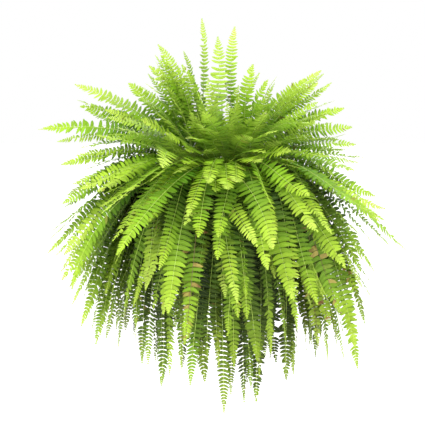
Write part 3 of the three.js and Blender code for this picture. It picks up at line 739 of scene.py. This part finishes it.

# %% [markdown]
# ## Leaf green
#
# Young tips are bright yellow-green and the rest of the blade mid green. Leaves deep in the plant are painted
# nearly black with shade. Every frond, and every leaflet a little, has a green of its own, and a few leaflets have
# dried to yellow or brown. These come as attributes: `share` along the frond, `tint` for the frond, `shade` for
# the painted shade of deep places, `dry` for dying fronds and `fleck` for the leaflet. The leaflet's own map gives
# the midrib, the side veins and, on the underside, two rows of brown spore dots. Light shines through thin leaves,
# so part of the shader is translucent.

# %% Leaf material
# The darkest stops are reached mostly where the shade attribute moves a leaf down the ramp: painted shade.
LEAF_GREENS = ((0.0, (0.030, 0.098, 0.003)), (0.3, (0.090, 0.245, 0.007)), (0.6, (0.26, 0.49, 0.016)),
               (0.84, (0.45, 0.66, 0.04)), (1.0, (0.56, 0.74, 0.10)))
DRY_BROWNS = ((0.35, (0.20, 0.11, 0.03)), (0.6, (0.42, 0.35, 0.08)))
RIB_GREENS = ((0.0, (0.07, 0.035, 0.012)), (0.08, (0.16, 0.13, 0.03)), (0.3, (0.24, 0.30, 0.05)),
              (0.75, (0.34, 0.50, 0.07)), (1.0, (0.55, 0.68, 0.10)))
MIDRIB_GREEN, UNDER_GREEN = (0.50, 0.62, 0.10, 1), (0.36, 0.52, 0.10, 1)
SPORE_BROWN, DRY_RIB = (0.16, 0.07, 0.02, 1), (0.13, 0.065, 0.025, 1)
TINT_SPREAD, PAINTED_SHADE_SHIFT, SHADE_BEND, PAINTED_SHADE_STRENGTH = 0.14, 0.28, 1.5, 0.88
PATCH_SCALE, PATCH_SPREAD, PATCH_LEAST, FLECK_SPREAD = 60.0, 0.32, 0.84, 0.25
VEINS, VEIN_SLANT, VEIN_RISE, MIDRIB_THIN, MIDRIB_SHOWS = 95.0, -40.0, 0.5, 14.0, 0.3
UNDER_FROM, UNDER_SHOWS, UNDER_FADES = 1.5, 0.35, 0.3
SPORES, SPORE_ROW, SPORE_THIN, SPORE_EDGE, SPORE_SHOWS, SPORE_RISE = 80.0, 0.30, 12.0, 0.45, 0.85, 3.0
DRY_FROM, DYING_MORE, DRY_EDGE, DRY_RIB_SHOWS = 0.988, 0.11, 60.0, 0.85
LEAF_ROUGHNESS, THROUGH_LIGHT = 0.5, 0.35


def attribute(tree, name):
    """A mesh attribute, as a number."""
    return give(tree, "ShaderNodeAttribute", output="Fac", attribute_name=name)


def noise(tree, scale, detail):
    """Noise in the object's own space."""
    spot = give(tree, "ShaderNodeTexCoord", output="Object")
    return give(tree, "ShaderNodeTexNoise", {"Vector": spot, "Scale": scale, "Detail": detail}, "Fac")


def ramp(tree, factor, stops):
    """A colour ramp of (place, colour) stops."""
    node = add_node(tree, "ShaderNodeValToRGB", {"Fac": factor})
    elements = node.color_ramp.elements
    while len(elements) < len(stops):
        elements.new(0.5)
    for element, (place, colour) in zip(elements, stops):
        element.position = place
        element.color = (*colour, 1)
    return Term(node.outputs["Color"])


def blend(tree, factor, one, other, mode="MIX"):
    """A mix of two colours."""
    return give(tree, "ShaderNodeMix", {"Factor": factor, 6: one, 7: other}, 2, data_type="RGBA", blend_type=mode)


def bumps(tree, height, strength, distance):
    """A normal from small differences in height, in metres."""
    return give(tree, "ShaderNodeBump", {"Strength": strength, "Distance": distance, "Height": height})


def leaf_material():
    """The green of the leaflets, and of the brown ones among them."""
    material, tree = new_material("fern_leaf")
    share, tint, fleck, shade, dying = (attribute(tree, name) for name in ("share", "tint", "fleck", "shade", "dry"))
    uv = add_node(tree, "ShaderNodeSeparateXYZ", {0: give(tree, "ShaderNodeUVMap", uv_map="leaflet")})
    length, across = map(Term, uv.outputs[:2])
    under = across > UNDER_FROM
    offset = (across - under * 2.0 - 0.5).maths("ABSOLUTE")
    # Painted shade: the shade attribute moves the green toward the ramp's dark end.
    green = ramp(tree, (share + tint * TINT_SPREAD - shade * PAINTED_SHADE_SHIFT).clamped(), LEAF_GREENS)
    patch = noise(tree, PATCH_SCALE, 3.0)
    bright = patch * PATCH_SPREAD + PATCH_LEAST + (fleck - 0.5) * FLECK_SPREAD
    # Painted shade: places deep in the plant are darkened toward black.
    bright = bright * (1.0 - shade.maths("POWER", SHADE_BEND) * PAINTED_SHADE_STRENGTH)
    green = blend(tree, 1.0, green, give(tree, "ShaderNodeCombineColor", {i: bright for i in range(3)}), "MULTIPLY")
    midrib = (1.0 - offset * MIDRIB_THIN).clamped()
    veins = (length * VEINS + offset * VEIN_SLANT).maths("SINE") * VEIN_RISE
    green = blend(tree, midrib * MIDRIB_SHOWS, green, MIDRIB_GREEN)
    # The underside's paler green shows less where painted shade lies.
    pale = blend(tree, under * (UNDER_SHOWS - shade * UNDER_FADES), green, UNDER_GREEN)
    row = (1.0 - (offset - SPORE_ROW).maths("ABSOLUTE") * SPORE_THIN).clamped()
    dots = ((length * SPORES).maths("SINE") * row > SPORE_EDGE) * under
    pale = blend(tree, dots * SPORE_SHOWS, pale, SPORE_BROWN)
    dry = ((fleck - DRY_FROM + dying * DYING_MORE) * DRY_EDGE).clamped()
    colour = blend(tree, dry, pale, ramp(tree, patch, DRY_BROWNS))
    normal = bumps(tree, veins + dots * SPORE_RISE, 0.35, 0.0004)
    leaf = give(tree, "ShaderNodeBsdfPrincipled", {"Base Color": colour, "Roughness": LEAF_ROUGHNESS,
                                                  "Specular IOR Level": 0.25, "Normal": normal})
    glow = give(tree, "ShaderNodeBsdfTranslucent", {"Color": colour, "Normal": normal})
    both = give(tree, "ShaderNodeMixShader", {0: THROUGH_LIGHT, 1: leaf, 2: glow})
    add_node(tree, "ShaderNodeOutputMaterial", {"Surface": both})
    return material


def rib_material():
    """Ribs, stalks, tufts and stocks: brown at the foot and green to the tip, or dry all along."""
    material, tree = new_material("fern_rib")
    colour = ramp(tree, attribute(tree, "share"), RIB_GREENS)
    colour = blend(tree, attribute(tree, "dry") * DRY_RIB_SHOWS, colour, DRY_RIB)
    rib = give(tree, "ShaderNodeBsdfPrincipled", {"Base Color": colour, "Roughness": LEAF_ROUGHNESS,
                                                 "Normal": bumps(tree, noise(tree, 900.0, 2.0), 0.3, 0.0003)})
    add_node(tree, "ShaderNodeOutputMaterial", {"Surface": rib})
    return material


leaf_green = leaf_material()
rib_green = rib_material()
print("leaf nodes", len(leaf_green.node_tree.nodes))

# %% [markdown]
# ## A frond from its rib
#
# A frond repeats one thing along a path, so Geometry Nodes make it. Its input is a bare line through the feet of
# the leaflets, and at each point attributes give the directions across, above and along, how far the leaflets
# sweep to the tip, their length and their width. The tree puts a leaflet from the right row and one from the
# left row on every point, each with a small random turn, and leaves out a few that fell off. It runs a rib along
# the line, wraps the stalk's foot in a tuft of brown scales, and puts one stock under each crown.

# %% Frond tree
FULL_TURN, LEAFLET_LENGTHS = 6.28, (0.9, 1.05)
STEPS_A_ROW, SPIN_STEP = 10, 30
RIB_SIDES, RIB_FLECK = 4, -1.0


def start_tree(name, inputs):
    """A geometry tree and what its named inputs give. Each input has a kind, or a number to start from."""
    tree = bpy.data.node_groups.new(name, "GeometryNodeTree")
    for label, start in {"Geometry": "Geometry", **inputs}.items():
        kind = {float: "Float", int: "Int"}.get(type(start), start)
        socket = tree.interface.new_socket(label, in_out="INPUT", socket_type="NodeSocket" + kind)
        if kind != start:
            socket.default_value = start
    tree.interface.new_socket("Geometry", in_out="OUTPUT", socket_type="NodeSocketGeometry")
    return tree, {socket.name: Term(socket) for socket in tree.nodes.new("NodeGroupInput").outputs if socket.name}


def finish_tree(tree, geometry, usual, chosen, other):
    """Ends a tree: all its parts get the usual material, and the chosen ones the other."""
    real = give(tree, "GeometryNodeRealizeInstances", {"Geometry": geometry})
    plain = give(tree, "GeometryNodeSetMaterial", {"Geometry": real, "Material": usual})
    both = give(tree, "GeometryNodeSetMaterial", {"Geometry": plain, "Selection": chosen, "Material": other})
    add_node(tree, "NodeGroupOutput", {0: both})
    return tree


def named(tree, name, kind="FLOAT"):
    """A named attribute."""
    return give(tree, "GeometryNodeInputNamedAttribute", {"Name": name}, data_type=kind)


def marked(tree, geometry, name, number, domain="INSTANCE"):
    """Geometry with a named attribute of its own."""
    return give(tree, "GeometryNodeStoreNamedAttribute", {"Geometry": geometry, "Name": name, "Value": number},
                data_type="FLOAT", domain=domain)


def chance(tree, seed, low, high):
    """A random number, or three of them where the limits are vectors."""
    if isinstance(low, tuple):
        return give(tree, "FunctionNodeRandomValue", {"Seed": seed, 0: low, 1: high}, data_type="FLOAT_VECTOR")
    return give(tree, "FunctionNodeRandomValue", {"Seed": seed, 2: low, 3: high}, 1, data_type="FLOAT")


def any_of(tree, seed, group, count):
    """What picks one of a group's shapes by chance for each point."""
    shapes = give(tree, "GeometryNodeCollectionInfo", {"Collection": group, "Separate Children": True,
                                                       "Reset Children": True})
    return {"Instance": shapes, "Pick Instance": True,
            "Instance Index": chance(tree, seed, 0.0, count - 0.001).maths("FLOOR")}


def turned_by(tree, angles):
    """A rotation from three angles."""
    return give(tree, "FunctionNodeEulerToRotation", {0: angles})


def frond_tree():
    """The tree that turns lines of leaflets' feet into fronds."""
    tree, source = start_tree("frond", {
        "Right Leaflets": "Collection", "Left Leaflets": "Collection", "Tuft": "Object", "Stock": "Object",
        "Fold": 0.12, "Jitter": 0.15, "Fallen": 0.03, "Seed": 3, "Leaf": "Material", "Rib": "Material"})
    line = source["Geometry"]
    across, above, along = (named(tree, name, "FLOAT_VECTOR") for name in ("across", "above", "along"))
    reach, wide = named(tree, "reach"), named(tree, "wide")
    parts = []

    def random(low, high, step):
        return chance(tree, source["Seed"] + step, low, high)

    def scaled(one, factor):
        return give(tree, "ShaderNodeVectorMath", {0: one, "Scale": factor}, operation="SCALE")

    def added(one, other):
        return give(tree, "ShaderNodeVectorMath", {0: one, 1: other}, operation="ADD")

    def rotation(first, second, axes, more):
        facing = give(tree, "FunctionNodeAxesToRotation", {0: first, 1: second}, primary_axis=axes[0],
                      secondary_axis=axes[1])
        return give(tree, "FunctionNodeRotateRotation", {0: facing, 1: more}, rotation_space="LOCAL")

    for step, label, sign in ((0, "Right Leaflets", 1.0), (STEPS_A_ROW, "Left Leaflets", -1.0)):
        out = added(scaled(across, sign), scaled(along, named(tree, "sweep")))
        out = added(out, scaled(above, source["Fold"] - named(tree, "limp")))
        swing = give(tree, "ShaderNodeCombineXYZ", {
            axis: random(-1.0, 1.0, step + axis) * source["Jitter"] for axis in range(3)})
        length = reach * random(*LEAFLET_LENGTHS, step + 4)
        kept = random(0.0, 1.0, step + 7) > source["Fallen"]
        placed = give(tree, "GeometryNodeInstanceOnPoints", {
            "Points": line, **any_of(tree, source["Seed"] + (step + 5), source[label], len(LEAFLET_FORMS)),
            "Selection": (reach > 0.0) * kept, "Rotation": rotation(out, above, "XZ", turned_by(tree, swing)),
            "Scale": give(tree, "ShaderNodeCombineXYZ", {0: length, 1: wide, 2: length})})
        parts.append(marked(tree, placed, "fleck", random(0.0, 1.0, step + 6)))
    for label, mark, upward in (("Tuft", "foot", along), ("Stock", "stock", (0.0, 0.0, 1.0))):
        shape = give(tree, "GeometryNodeObjectInfo", {"Object": source[label], "As Instance": True}, "Geometry")
        spin = give(tree, "ShaderNodeCombineXYZ", {2: random(0.0, FULL_TURN, SPIN_STEP)})
        placed = give(tree, "GeometryNodeInstanceOnPoints", {
            "Points": line, "Selection": named(tree, mark) > 0.5, "Instance": shape,
            "Rotation": rotation(upward, (1.0, 0.0, 0.0), "ZX", turned_by(tree, spin))})
        parts.append(marked(tree, placed, "fleck", RIB_FLECK))
    section = give(tree, "GeometryNodeCurvePrimitiveCircle", {"Resolution": RIB_SIDES, "Radius": 1.0})
    rib = give(tree, "GeometryNodeCurveToMesh", {
        "Curve": give(tree, "GeometryNodeMeshToCurve", {"Mesh": line}), "Profile Curve": section,
        "Scale": named(tree, "thick"), "Fill Caps": True})
    parts.append(marked(tree, rib, "fleck", RIB_FLECK, "POINT"))
    whole = add_node(tree, "GeometryNodeJoinGeometry")
    for part in parts:
        tree.links.new(part.socket, whole.inputs[0])
    is_rib = named(tree, "fleck").maths("LESS_THAN", RIB_FLECK / 2)
    return finish_tree(tree, Term(whole.outputs[0]), source["Leaf"], is_rib, source["Rib"])


frond_maker = frond_tree()
print("frond tree nodes", len(frond_maker.nodes))

# %% [markdown]
# A tuft is a small spindle with narrow scales round it, and a stock is a rough short post that fills its hole in
# the soil. Both stand upright here.

# %% Tuft and stock
TUFT_SPINDLE = [(0, -0.007), (0.0034, -0.004), (0.0036, 0.002), (0.0022, 0.009), (0, 0.012)]
TUFT_SIDES, TUFT_SCALES, SCALE_WIDTH, SCALE_DEPTH = 6, 20, 0.0009, 0.0012
STOCK_RINGS = ((-13, 5.2), (-6, 5.9), (-1, 5.6), (1.5, 5.2), (3.6, 3.4))
STOCK_SIDES, STOCK_ROUGH = 8, 0.86


def turned(outline, turns):
    """Corners and faces of a body turned about Z, from radii and heights that start and end on the axis."""
    corners = [(0, 0, outline[0][1])]
    corners += [(r * math.cos(k * math.tau / turns), r * math.sin(k * math.tau / turns), z)
                for r, z in outline[1:-1] for k in range(turns)]
    corners.append((0, 0, outline[-1][1]))
    top = len(corners) - 1 - turns
    faces = [(0, 1 + (k + 1) % turns, 1 + k) for k in range(turns)]
    faces += [(a + k, a + (k + 1) % turns, a + turns + (k + 1) % turns, a + turns + k)
              for a in range(1, top, turns) for k in range(turns)]
    faces += [(top + k, top + (k + 1) % turns, len(corners) - 1) for k in range(turns)]
    return corners, faces


def make_tuft():
    """A spindle along Z, 7 mm across, with narrow scales all round it, in metres."""
    random = np.random.default_rng(8)
    corners, faces = turned(TUFT_SPINDLE, TUFT_SIDES)
    for i in range(TUFT_SCALES):
        turn, rise = i * radians(GOLDEN_ANGLE), mix(-0.001, 0.010, i / TUFT_SCALES)
        out = np.array((math.cos(turn), math.sin(turn), 0))
        side = np.array((-out[1], out[0], 0))
        foot = out * 0.002 + (0, 0, rise)
        tip = foot + out * random.uniform(0.002, 0.006) + (0, 0, random.uniform(0.004, 0.011))
        first = len(corners)
        corners += [foot + side * SCALE_WIDTH, foot - side * SCALE_WIDTH, foot - (0, 0, SCALE_DEPTH), tip]
        faces += [(first + a, first + b, first + c) for a, b, c in ((0, 1, 2), (0, 3, 1), (1, 3, 2), (2, 3, 0))]
    return corners, faces


def make_stock():
    """A rough post, from the bottom of its hole to a little above the soil, in metres."""
    random = np.random.default_rng(9)
    sides = range(STOCK_SIDES)
    corners = [(radius * math.cos(k * math.tau / STOCK_SIDES) * random.uniform(STOCK_ROUGH, 1) / 1000,
                radius * math.sin(k * math.tau / STOCK_SIDES) * random.uniform(STOCK_ROUGH, 1) / 1000, height / 1000)
               for height, radius in STOCK_RINGS for k in sides]
    top = len(corners) - STOCK_SIDES
    faces = [(a + k, a + (k + 1) % STOCK_SIDES, a + STOCK_SIDES + (k + 1) % STOCK_SIDES, a + STOCK_SIDES + k)
             for a in range(0, top, STOCK_SIDES) for k in sides]
    return corners, faces + [tuple(reversed(sides)), tuple(top + k for k in sides)]


extras = {}
for label, (corners, faces) in (("tuft", make_tuft()), ("stock", make_stock())):
    extras[label] = make_object(label, corners, faces)
    extras[label].data.uv_layers.new(name="leaflet")
    show_solid(label, extras[label].data)

# %% [markdown]
# The feet of the leaflets lie about a centimetre apart, and closer toward the tip, where a frond is still
# unrolling. Leaflets stand square to the rib or lean a little back at the foot, and sweep forward at the tip,
# which is a little blunter than the solid's. No rib is quite true: each wavers a few millimetres to the sides, and
# its blade twists a little. In a few places near the edge fronds are dying or have lost the leaflets at their tips.
#
# Each crown's ribs go into one line mesh, the tree runs on it, and the result is kept as a plain mesh in place
# of the crown's solid.

# %% Lines for the ribs
LEAFLET_STEP, PITCH_STEPS, STALK_STEPS = 9.4, 200, 7
TIP_CLOSER, CLOSER_LATE, LAST_PAIR = 0.45, 5, BLADE_END + 0.01
RIB_FOOT, RIB_END, YOUNG_THINNER = 1.5, 0.4, 0.25
SWEEP_FOOT, SWEEP_MIDDLE, SWEEP_TIP, SWEEP_SETTLES, SWEEP_LATE = -0.15, 0.12, 0.75, 0.3, 4
WAVE_TURNS, WAVE_STARTS = 7, 40
TIP_LATER, SHORTEST_LEAFLET, CLOSER_IF_NARROW = 4.5, 3.5, 0.7


def leaflet_shares(frond):
    """Shares along the rib: a few on the stalk, then one for each pair of leaflets."""
    blade = (1 - STALK_SHARE) * rib_length(frond["handles"])
    even = np.linspace(0, 1, PITCH_STEPS)
    pitch = 1 - (1 - TIP_CLOSER) * even ** CLOSER_LATE
    count = int(round(blade / LEAFLET_STEP / pitch.mean() * (BLADE_WIDTH / frond["width"]) ** CLOSER_IF_NARROW))
    place = np.concatenate(([0], np.cumsum((1 / pitch[1:] + 1 / pitch[:-1]) / 2)))
    spread = np.interp(np.linspace(0, place[-1], count), place, even)
    return np.concatenate((np.linspace(0, STALK_SHARE, STALK_STEPS, endpoint=False),
                           mix(STALK_SHARE, LAST_PAIR, spread)))


def rib_lines(name, fronds):
    """One mesh of bare lines, with what the tree needs at each point."""
    lines, edges, first = [], [], 0
    for number, frond in enumerate(fronds):
        shares = leaflet_shares(frond)
        place, along, side, above, half = frond_places(frond, shares)
        step = np.gradient(np.concatenate(([0], np.cumsum(np.linalg.norm(np.diff(place, axis=0), axis=1)))))
        wave = np.sin(WAVE_TURNS * shares + frond["limp"] * WAVE_STARTS)
        place = place + side * (frond["wave"] * shares * wave)[:, None]
        twist = (frond["twist"] * shares ** 2)[:, None]
        side, above = side * np.cos(twist) - above * np.sin(twist), above * np.cos(twist) + side * np.sin(twist)
        # The solid's taper is taken out of the half widths, and a later one put in.
        inside = np.clip((shares - STALK_SHARE) / (1 - STALK_SHARE), 0, 1)
        half = half * ((1 - inside ** TIP_LATER) / np.maximum(1 - inside ** TAPER_LATE, 1e-4)) ** TAPER_ROUND
        half = half * frond["slim"]
        bare = (shares < STALK_SHARE) | (inside > 1 - frond["bare"])
        half = np.where(bare, 0, np.maximum(half, SHORTEST_LEAFLET))
        sweep = np.interp(inside, (0, SWEEP_SETTLES), (SWEEP_FOOT, SWEEP_MIDDLE))
        at_foot = np.arange(len(shares)) == 0
        edges += [(first + i, first + i + 1) for i in range(len(shares) - 1)]
        first += len(shares)
        lines.append({
            "place": to_frame(place), "across": side, "above": above, "along": along, "reach": half / 1000,
            "wide": np.where(half > 0, step * frond["fullness"] / LEAFLET_ASPECT / 1000, 0),
            "thick": mix(RIB_FOOT, RIB_END, shares) * (1 - YOUNG_THINNER * frond["young"]) / 1000,
            "sweep": sweep + (SWEEP_TIP - SWEEP_MIDDLE) * inside ** SWEEP_LATE, "share": shares,
            # The shade attribute is painted shade, which darkens the leaves' green deep in the plant.
            "shade": painted_shade_at(place), "foot": at_foot, "stock": at_foot & (number == 0),
            **{key: np.full(len(shares), frond[key]) for key in ("tint", "limp", "dry")}})
    data = {key: np.concatenate([line[key] for line in lines]) for key in lines[0]}
    source = make_object(name, data.pop("place"), edges=edges)
    for key, values in data.items():
        kind, field = ("FLOAT_VECTOR", "vector") if values.ndim > 1 else ("FLOAT", "value")
        spots = source.data.attributes.new(key, kind, "POINT")
        spots.data.foreach_set(field, values.astype(np.float32).ravel())
    return source


def finished_mesh(source):
    """The mesh of an object with its modifiers carried out."""
    graph = bpy.context.evaluated_depsgraph_get()
    graph.update()
    return bpy.data.meshes.new_from_object(source.evaluated_get(graph), depsgraph=graph)


def run_tree(source, tree, name, **inputs):
    """Runs a tree on an object and keeps the result as a plain mesh object."""
    scene.collection.objects.link(source)
    modifier = source.modifiers.new("tree", "NODES")
    modifier.node_group = tree
    sockets = {item.name: item.identifier for item in tree.interface.items_tree if item.in_out == "INPUT"}
    for label, setting in inputs.items():
        modifier[sockets[label.replace("_", " ")]] = setting
    mesh = finished_mesh(source)
    mesh.name = name
    bpy.data.objects.remove(source)
    piece = bpy.data.objects.new(name, mesh)
    scene.collection.objects.link(piece)
    return piece


def triangles(piece):
    """How many triangles a piece has."""
    piece.data.calc_loop_triangles()
    return len(piece.data.loop_triangles)


# %% Grow the fronds
# Places on the front where fronds are dying or bare, as across, up from the soil, and how far round or how much.
DYING = ((-92, -300, 40), (-155, -130, 30), (215, -350, 40), (290, -300, 45))
BARE = ((365, -205, 0.3), (-242, -322, 0.15), (372, -330, 0.2), (-60, -400, 0.1))
UPRIGHT_FROM, UPRIGHT_OVER, UPRIGHT_TWIST, UPRIGHT_SLIM = 55, 20, 0.95, 0.25
YOUNG_TINT, LIMP, WAVER, TWIST, FULLNESS = 0.4, (0.06, 0.12), (0, 5), (0, 0.3), (0.76, 0.96)
look = np.random.default_rng(5)


def gap_to(frond, x, z):
    """How far a frond's tip lies from a place, as seen from the front."""
    return math.hypot(frond["tip"][0] - x, frond["tip"][2] - SOIL_TOP - z)


for frond in (frond for crown in planted for frond in crown["fronds"]):
    frond["tint"] = look.uniform(-1, 1) + YOUNG_TINT * frond["young"]
    frond["limp"] = max(look.normal(*LIMP), 0)
    frond["wave"] = look.normal(*WAVER)
    upright = clamp((measure_tip(frond["tip"])[1] - UPRIGHT_FROM) / UPRIGHT_OVER, 0, 1)
    frond["twist"] = look.normal(*TWIST) + UPRIGHT_TWIST * upright
    frond["slim"] = 1 - UPRIGHT_SLIM * upright
    frond["fullness"] = look.uniform(*FULLNESS)
    frond["dry"] = float(frond["tip"][1] < 0 and any(gap_to(frond, x, z) < near for x, z, near in DYING))
    frond["bare"] = 0
for x, z, part in BARE:
    min(young, key=lambda frond: gap_to(frond, x, z)).update(bare=part, dry=1.0)
print("dying fronds", sum(frond["dry"] for crown in planted for frond in crown["fronds"]))

total = 0
for i, (name, crown) in enumerate(zip(frond_names, planted)):
    for is_young, (age, title) in enumerate((("grown", "leafy_fronds"), ("young", "young_fronds"))):
        fronds = [frond for frond in crown["fronds"] if frond["young"] == is_young]
        if not fronds:
            continue
        piece = run_tree(rib_lines(f"{name}_{age}_lines", fronds), frond_maker, name.replace("fronds", title),
                         Right_Leaflets=leaflet_rows[age, "right"], Left_Leaflets=leaflet_rows[age, "left"],
                         Tuft=extras["tuft"], Stock=extras["stock"], Seed=i + 1, Leaf=leaf_green, Rib=rib_green)
        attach(piece, "root")
        if age == "grown":
            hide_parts(name)
        total += triangles(piece)
print("frond triangles", total)

# %% [markdown]
# ## Pot, soil and hanger
#
# The pot is plain moulded plastic, the soil dark peat with crumbs and a few white grains of perlite, and the
# hanger galvanised wire. Their colours come from noise in the object's own space.

# %% Finishes of the pot, the soil and the hanger
CLOUD_WIDER, ROUGH_SPREAD, GRAIN_BUMP = 20, 0.2, 0.4


def grained_material(name, dark, light, roughness, scale, depth, metallic=0.0):
    """A material with fine grain in slow clouds."""
    material, tree = new_material(name)
    grain, cloud = noise(tree, scale, 6.0), noise(tree, scale / CLOUD_WIDER, 3.0)
    shader = give(tree, "ShaderNodeBsdfPrincipled", {
        "Base Color": ramp(tree, (grain + cloud) * 0.5, ((0.3, dark), (0.7, light))), "Metallic": metallic,
        "Roughness": cloud * ROUGH_SPREAD + (roughness - ROUGH_SPREAD / 2),
        "Normal": bumps(tree, grain, GRAIN_BUMP, depth)})
    add_node(tree, "ShaderNodeOutputMaterial", {"Surface": shader})
    return material


finishes = {
    "pot": grained_material("pot_plastic", (0.006, 0.016, 0.007), (0.014, 0.034, 0.014), 0.62, 700.0, 0.0002),
    "soil": grained_material("peat_soil", (0.012, 0.007, 0.004), (0.09, 0.05, 0.028), 0.9, 220.0, 0.003),
    "wire": grained_material("galvanised_wire", (0.28, 0.29, 0.29), (0.5, 0.51, 0.5), 0.35, 900.0, 0.0001, 0.9),
    "perlite": grained_material("perlite", (0.55, 0.53, 0.48), (0.85, 0.83, 0.78), 0.8, 900.0, 0.0005),
}
for name in ("soil", "hanger_hook", "hanger_wire_1", "hanger_wire_2", "hanger_wire_3"):
    nodes[name].data.materials.clear()
    nodes[name].data.materials.append(finishes["soil" if name == "soil" else "wire"])

# %% [markdown]
# A moulded pot is turned about its axis, so it is a lathe of one closed outline. Its wall has soft edges, a foot
# ring, two raised bands and a rolled lip, which the plain solid leaves out. Drain holes and the holes for the
# wires are cut afterwards by one Boolean.

# %% Pot
POT_TURNS, POST_SIDES, SMOOTH_UNDER = 96, 24, 35
BANDS = (0.30, 0.86)
DRAIN_AZIMUTHS, DRAIN_CIRCLE, DRAIN_RADIUS, WIRE_HOLE = (45, 135, 225, 315), 58, 6, 2
FLANGE_BOTTOM = POT_HEIGHT - FLANGE_THICKNESS
POT_OUTLINE = [(0, 1), (70, 1), (73, 0), (POT_BASE_RADIUS - 1.5, 0), (POT_BASE_RADIUS, 1.5)]
for band in BANDS:
    radius, height = mix(POT_BASE_RADIUS, POT_MOUTH_RADIUS, band), POT_HEIGHT * band
    POT_OUTLINE += [(radius + out, height + up) for out, up in ((-0.5, -3), (0.7, -2), (0.9, 1), (0.2, 2))]
POT_OUTLINE += [(POT_MOUTH_RADIUS - 1, FLANGE_BOTTOM - 2), (POT_MOUTH_RADIUS + 0.6, FLANGE_BOTTOM)]
POT_OUTLINE += [(FLANGE_RADIUS - out, POT_HEIGHT - down)
                for out, down in ((1.5, 4), (0.4, 3.4), (0, 2), (0.4, 0.6), (1.5, 0))]
POT_OUTLINE += [(POT_MOUTH_RADIUS + 1, POT_HEIGHT), (POT_MOUTH_RADIUS - 1.2, POT_HEIGHT - 0.8),
                (POT_MOUTH_RADIUS - POT_WALL, POT_HEIGHT - 2.5), (POT_BASE_RADIUS - POT_WALL + 0.2, 3),
                (POT_BASE_RADIUS - POT_WALL - 1, 2), (0, 2)]

corners, faces = turned(POT_OUTLINE, POT_TURNS)
pot = make_object("moulded_pot", to_frame(corners), faces)
posts = [(azimuth, DRAIN_CIRCLE, 2.5, 13, DRAIN_RADIUS) for azimuth in DRAIN_AZIMUTHS]
posts += [(azimuth, WIRE_CIRCLE, POT_HEIGHT - FLANGE_THICKNESS / 2, 16, WIRE_HOLE) for azimuth in WIRE_AZIMUTHS]
cuts = bmesh.new()
for azimuth, circle, height, length, radius in posts:
    post = bmesh.ops.create_cone(cuts, cap_ends=True, segments=POST_SIDES, radius1=radius / 1000,
                                 radius2=radius / 1000, depth=length / 1000)
    bmesh.ops.translate(cuts, verts=post["verts"], vec=to_frame(direction(azimuth, 0) * circle + (0, 0, height)))
cutter = make_object("pot_holes", ())
cuts.to_mesh(cutter.data)
cuts.free()
scene.collection.objects.link(cutter)
scene.collection.objects.link(pot)
holes = pot.modifiers.new("holes", "BOOLEAN")
holes.operation, holes.solver, holes.object = "DIFFERENCE", "EXACT", cutter
cut_mesh = finished_mesh(pot)
pot.modifiers.clear()
pot.data = cut_mesh
bpy.data.objects.remove(cutter)
for face in pot.data.polygons:
    face.use_smooth = True
pot.data.set_sharp_from_angle(angle=math.radians(SMOOTH_UNDER))
pot.data.materials.append(finishes["pot"])
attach(pot, "root")
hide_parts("pot")
print("pot triangles", triangles(pot))

# %% [markdown]
# The soil's top is strewn with crumbs. Geometry Nodes scatter three kinds of rough lump over a disc, each turned
# and sized by chance, and make about one in twelve a perlite grain.

# %% Soil crumbs
LUMP_SEEDS, LUMP_ROUGH, LUMP_FLAT = (1, 2, 3), (0.7, 1.15), 0.75
DISC_RADIUS, DISC_TURNS, DISC_HEIGHT = 0.111, 48, SOIL_TOP + 0.4


def make_lump(name, seed):
    """A rough lump of twenty faces, 1 across."""
    random = np.random.default_rng(seed)
    shape = bmesh.new()
    bmesh.ops.create_icosphere(shape, subdivisions=1, radius=0.5)
    for corner in shape.verts:
        corner.co *= random.uniform(*LUMP_ROUGH)
        corner.co.z *= LUMP_FLAT
    lump = make_object(name, ())
    shape.to_mesh(lump.data)
    shape.free()
    return lump


def crumb_tree():
    """The tree that strews a face with lumps."""
    tree, source = start_tree("crumbs", {"Lumps": "Collection", "Density": 30000.0, "Smallest": 0.0012,
                                         "Spread": 0.005, "Peat Share": 0.92, "Seed": 4, "Peat": "Material",
                                         "Perlite": "Material"})

    def random(low, high, step):
        return chance(tree, source["Seed"] + step, low, high)

    spots = give(tree, "GeometryNodeDistributePointsOnFaces", {
        "Mesh": source["Geometry"], "Density": source["Density"], "Seed": source["Seed"]})
    size = random(0.0, 1.0, 2).maths("POWER", 2.5) * source["Spread"] + source["Smallest"]
    placed = give(tree, "GeometryNodeInstanceOnPoints", {
        "Points": spots, **any_of(tree, source["Seed"] + 3, source["Lumps"], len(LUMP_SEEDS)),
        "Rotation": turned_by(tree, random((0, 0, 0), (FULL_TURN,) * 3, 1)), "Scale": size})
    placed = marked(tree, placed, "grain", random(0.0, 1.0, 5))
    return finish_tree(tree, placed, source["Peat"], named(tree, "grain") > source["Peat Share"], source["Perlite"])


lumps = bpy.data.collections.new("lumps")
for seed in LUMP_SEEDS:
    lumps.objects.link(make_lump(f"lump_{seed}", seed))
disc = bmesh.new()
bmesh.ops.create_circle(disc, cap_ends=True, segments=DISC_TURNS, radius=DISC_RADIUS)
bmesh.ops.translate(disc, verts=disc.verts, vec=to_frame((0, 0, DISC_HEIGHT)))
ground = make_object("soil_disc", ())
disc.to_mesh(ground.data)
disc.free()
crumbs = run_tree(ground, crumb_tree(), "soil_crumbs", Lumps=lumps, Peat=finishes["soil"],
                  Perlite=finishes["perlite"])
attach(crumbs, "root")
print("crumb triangles", triangles(crumbs))
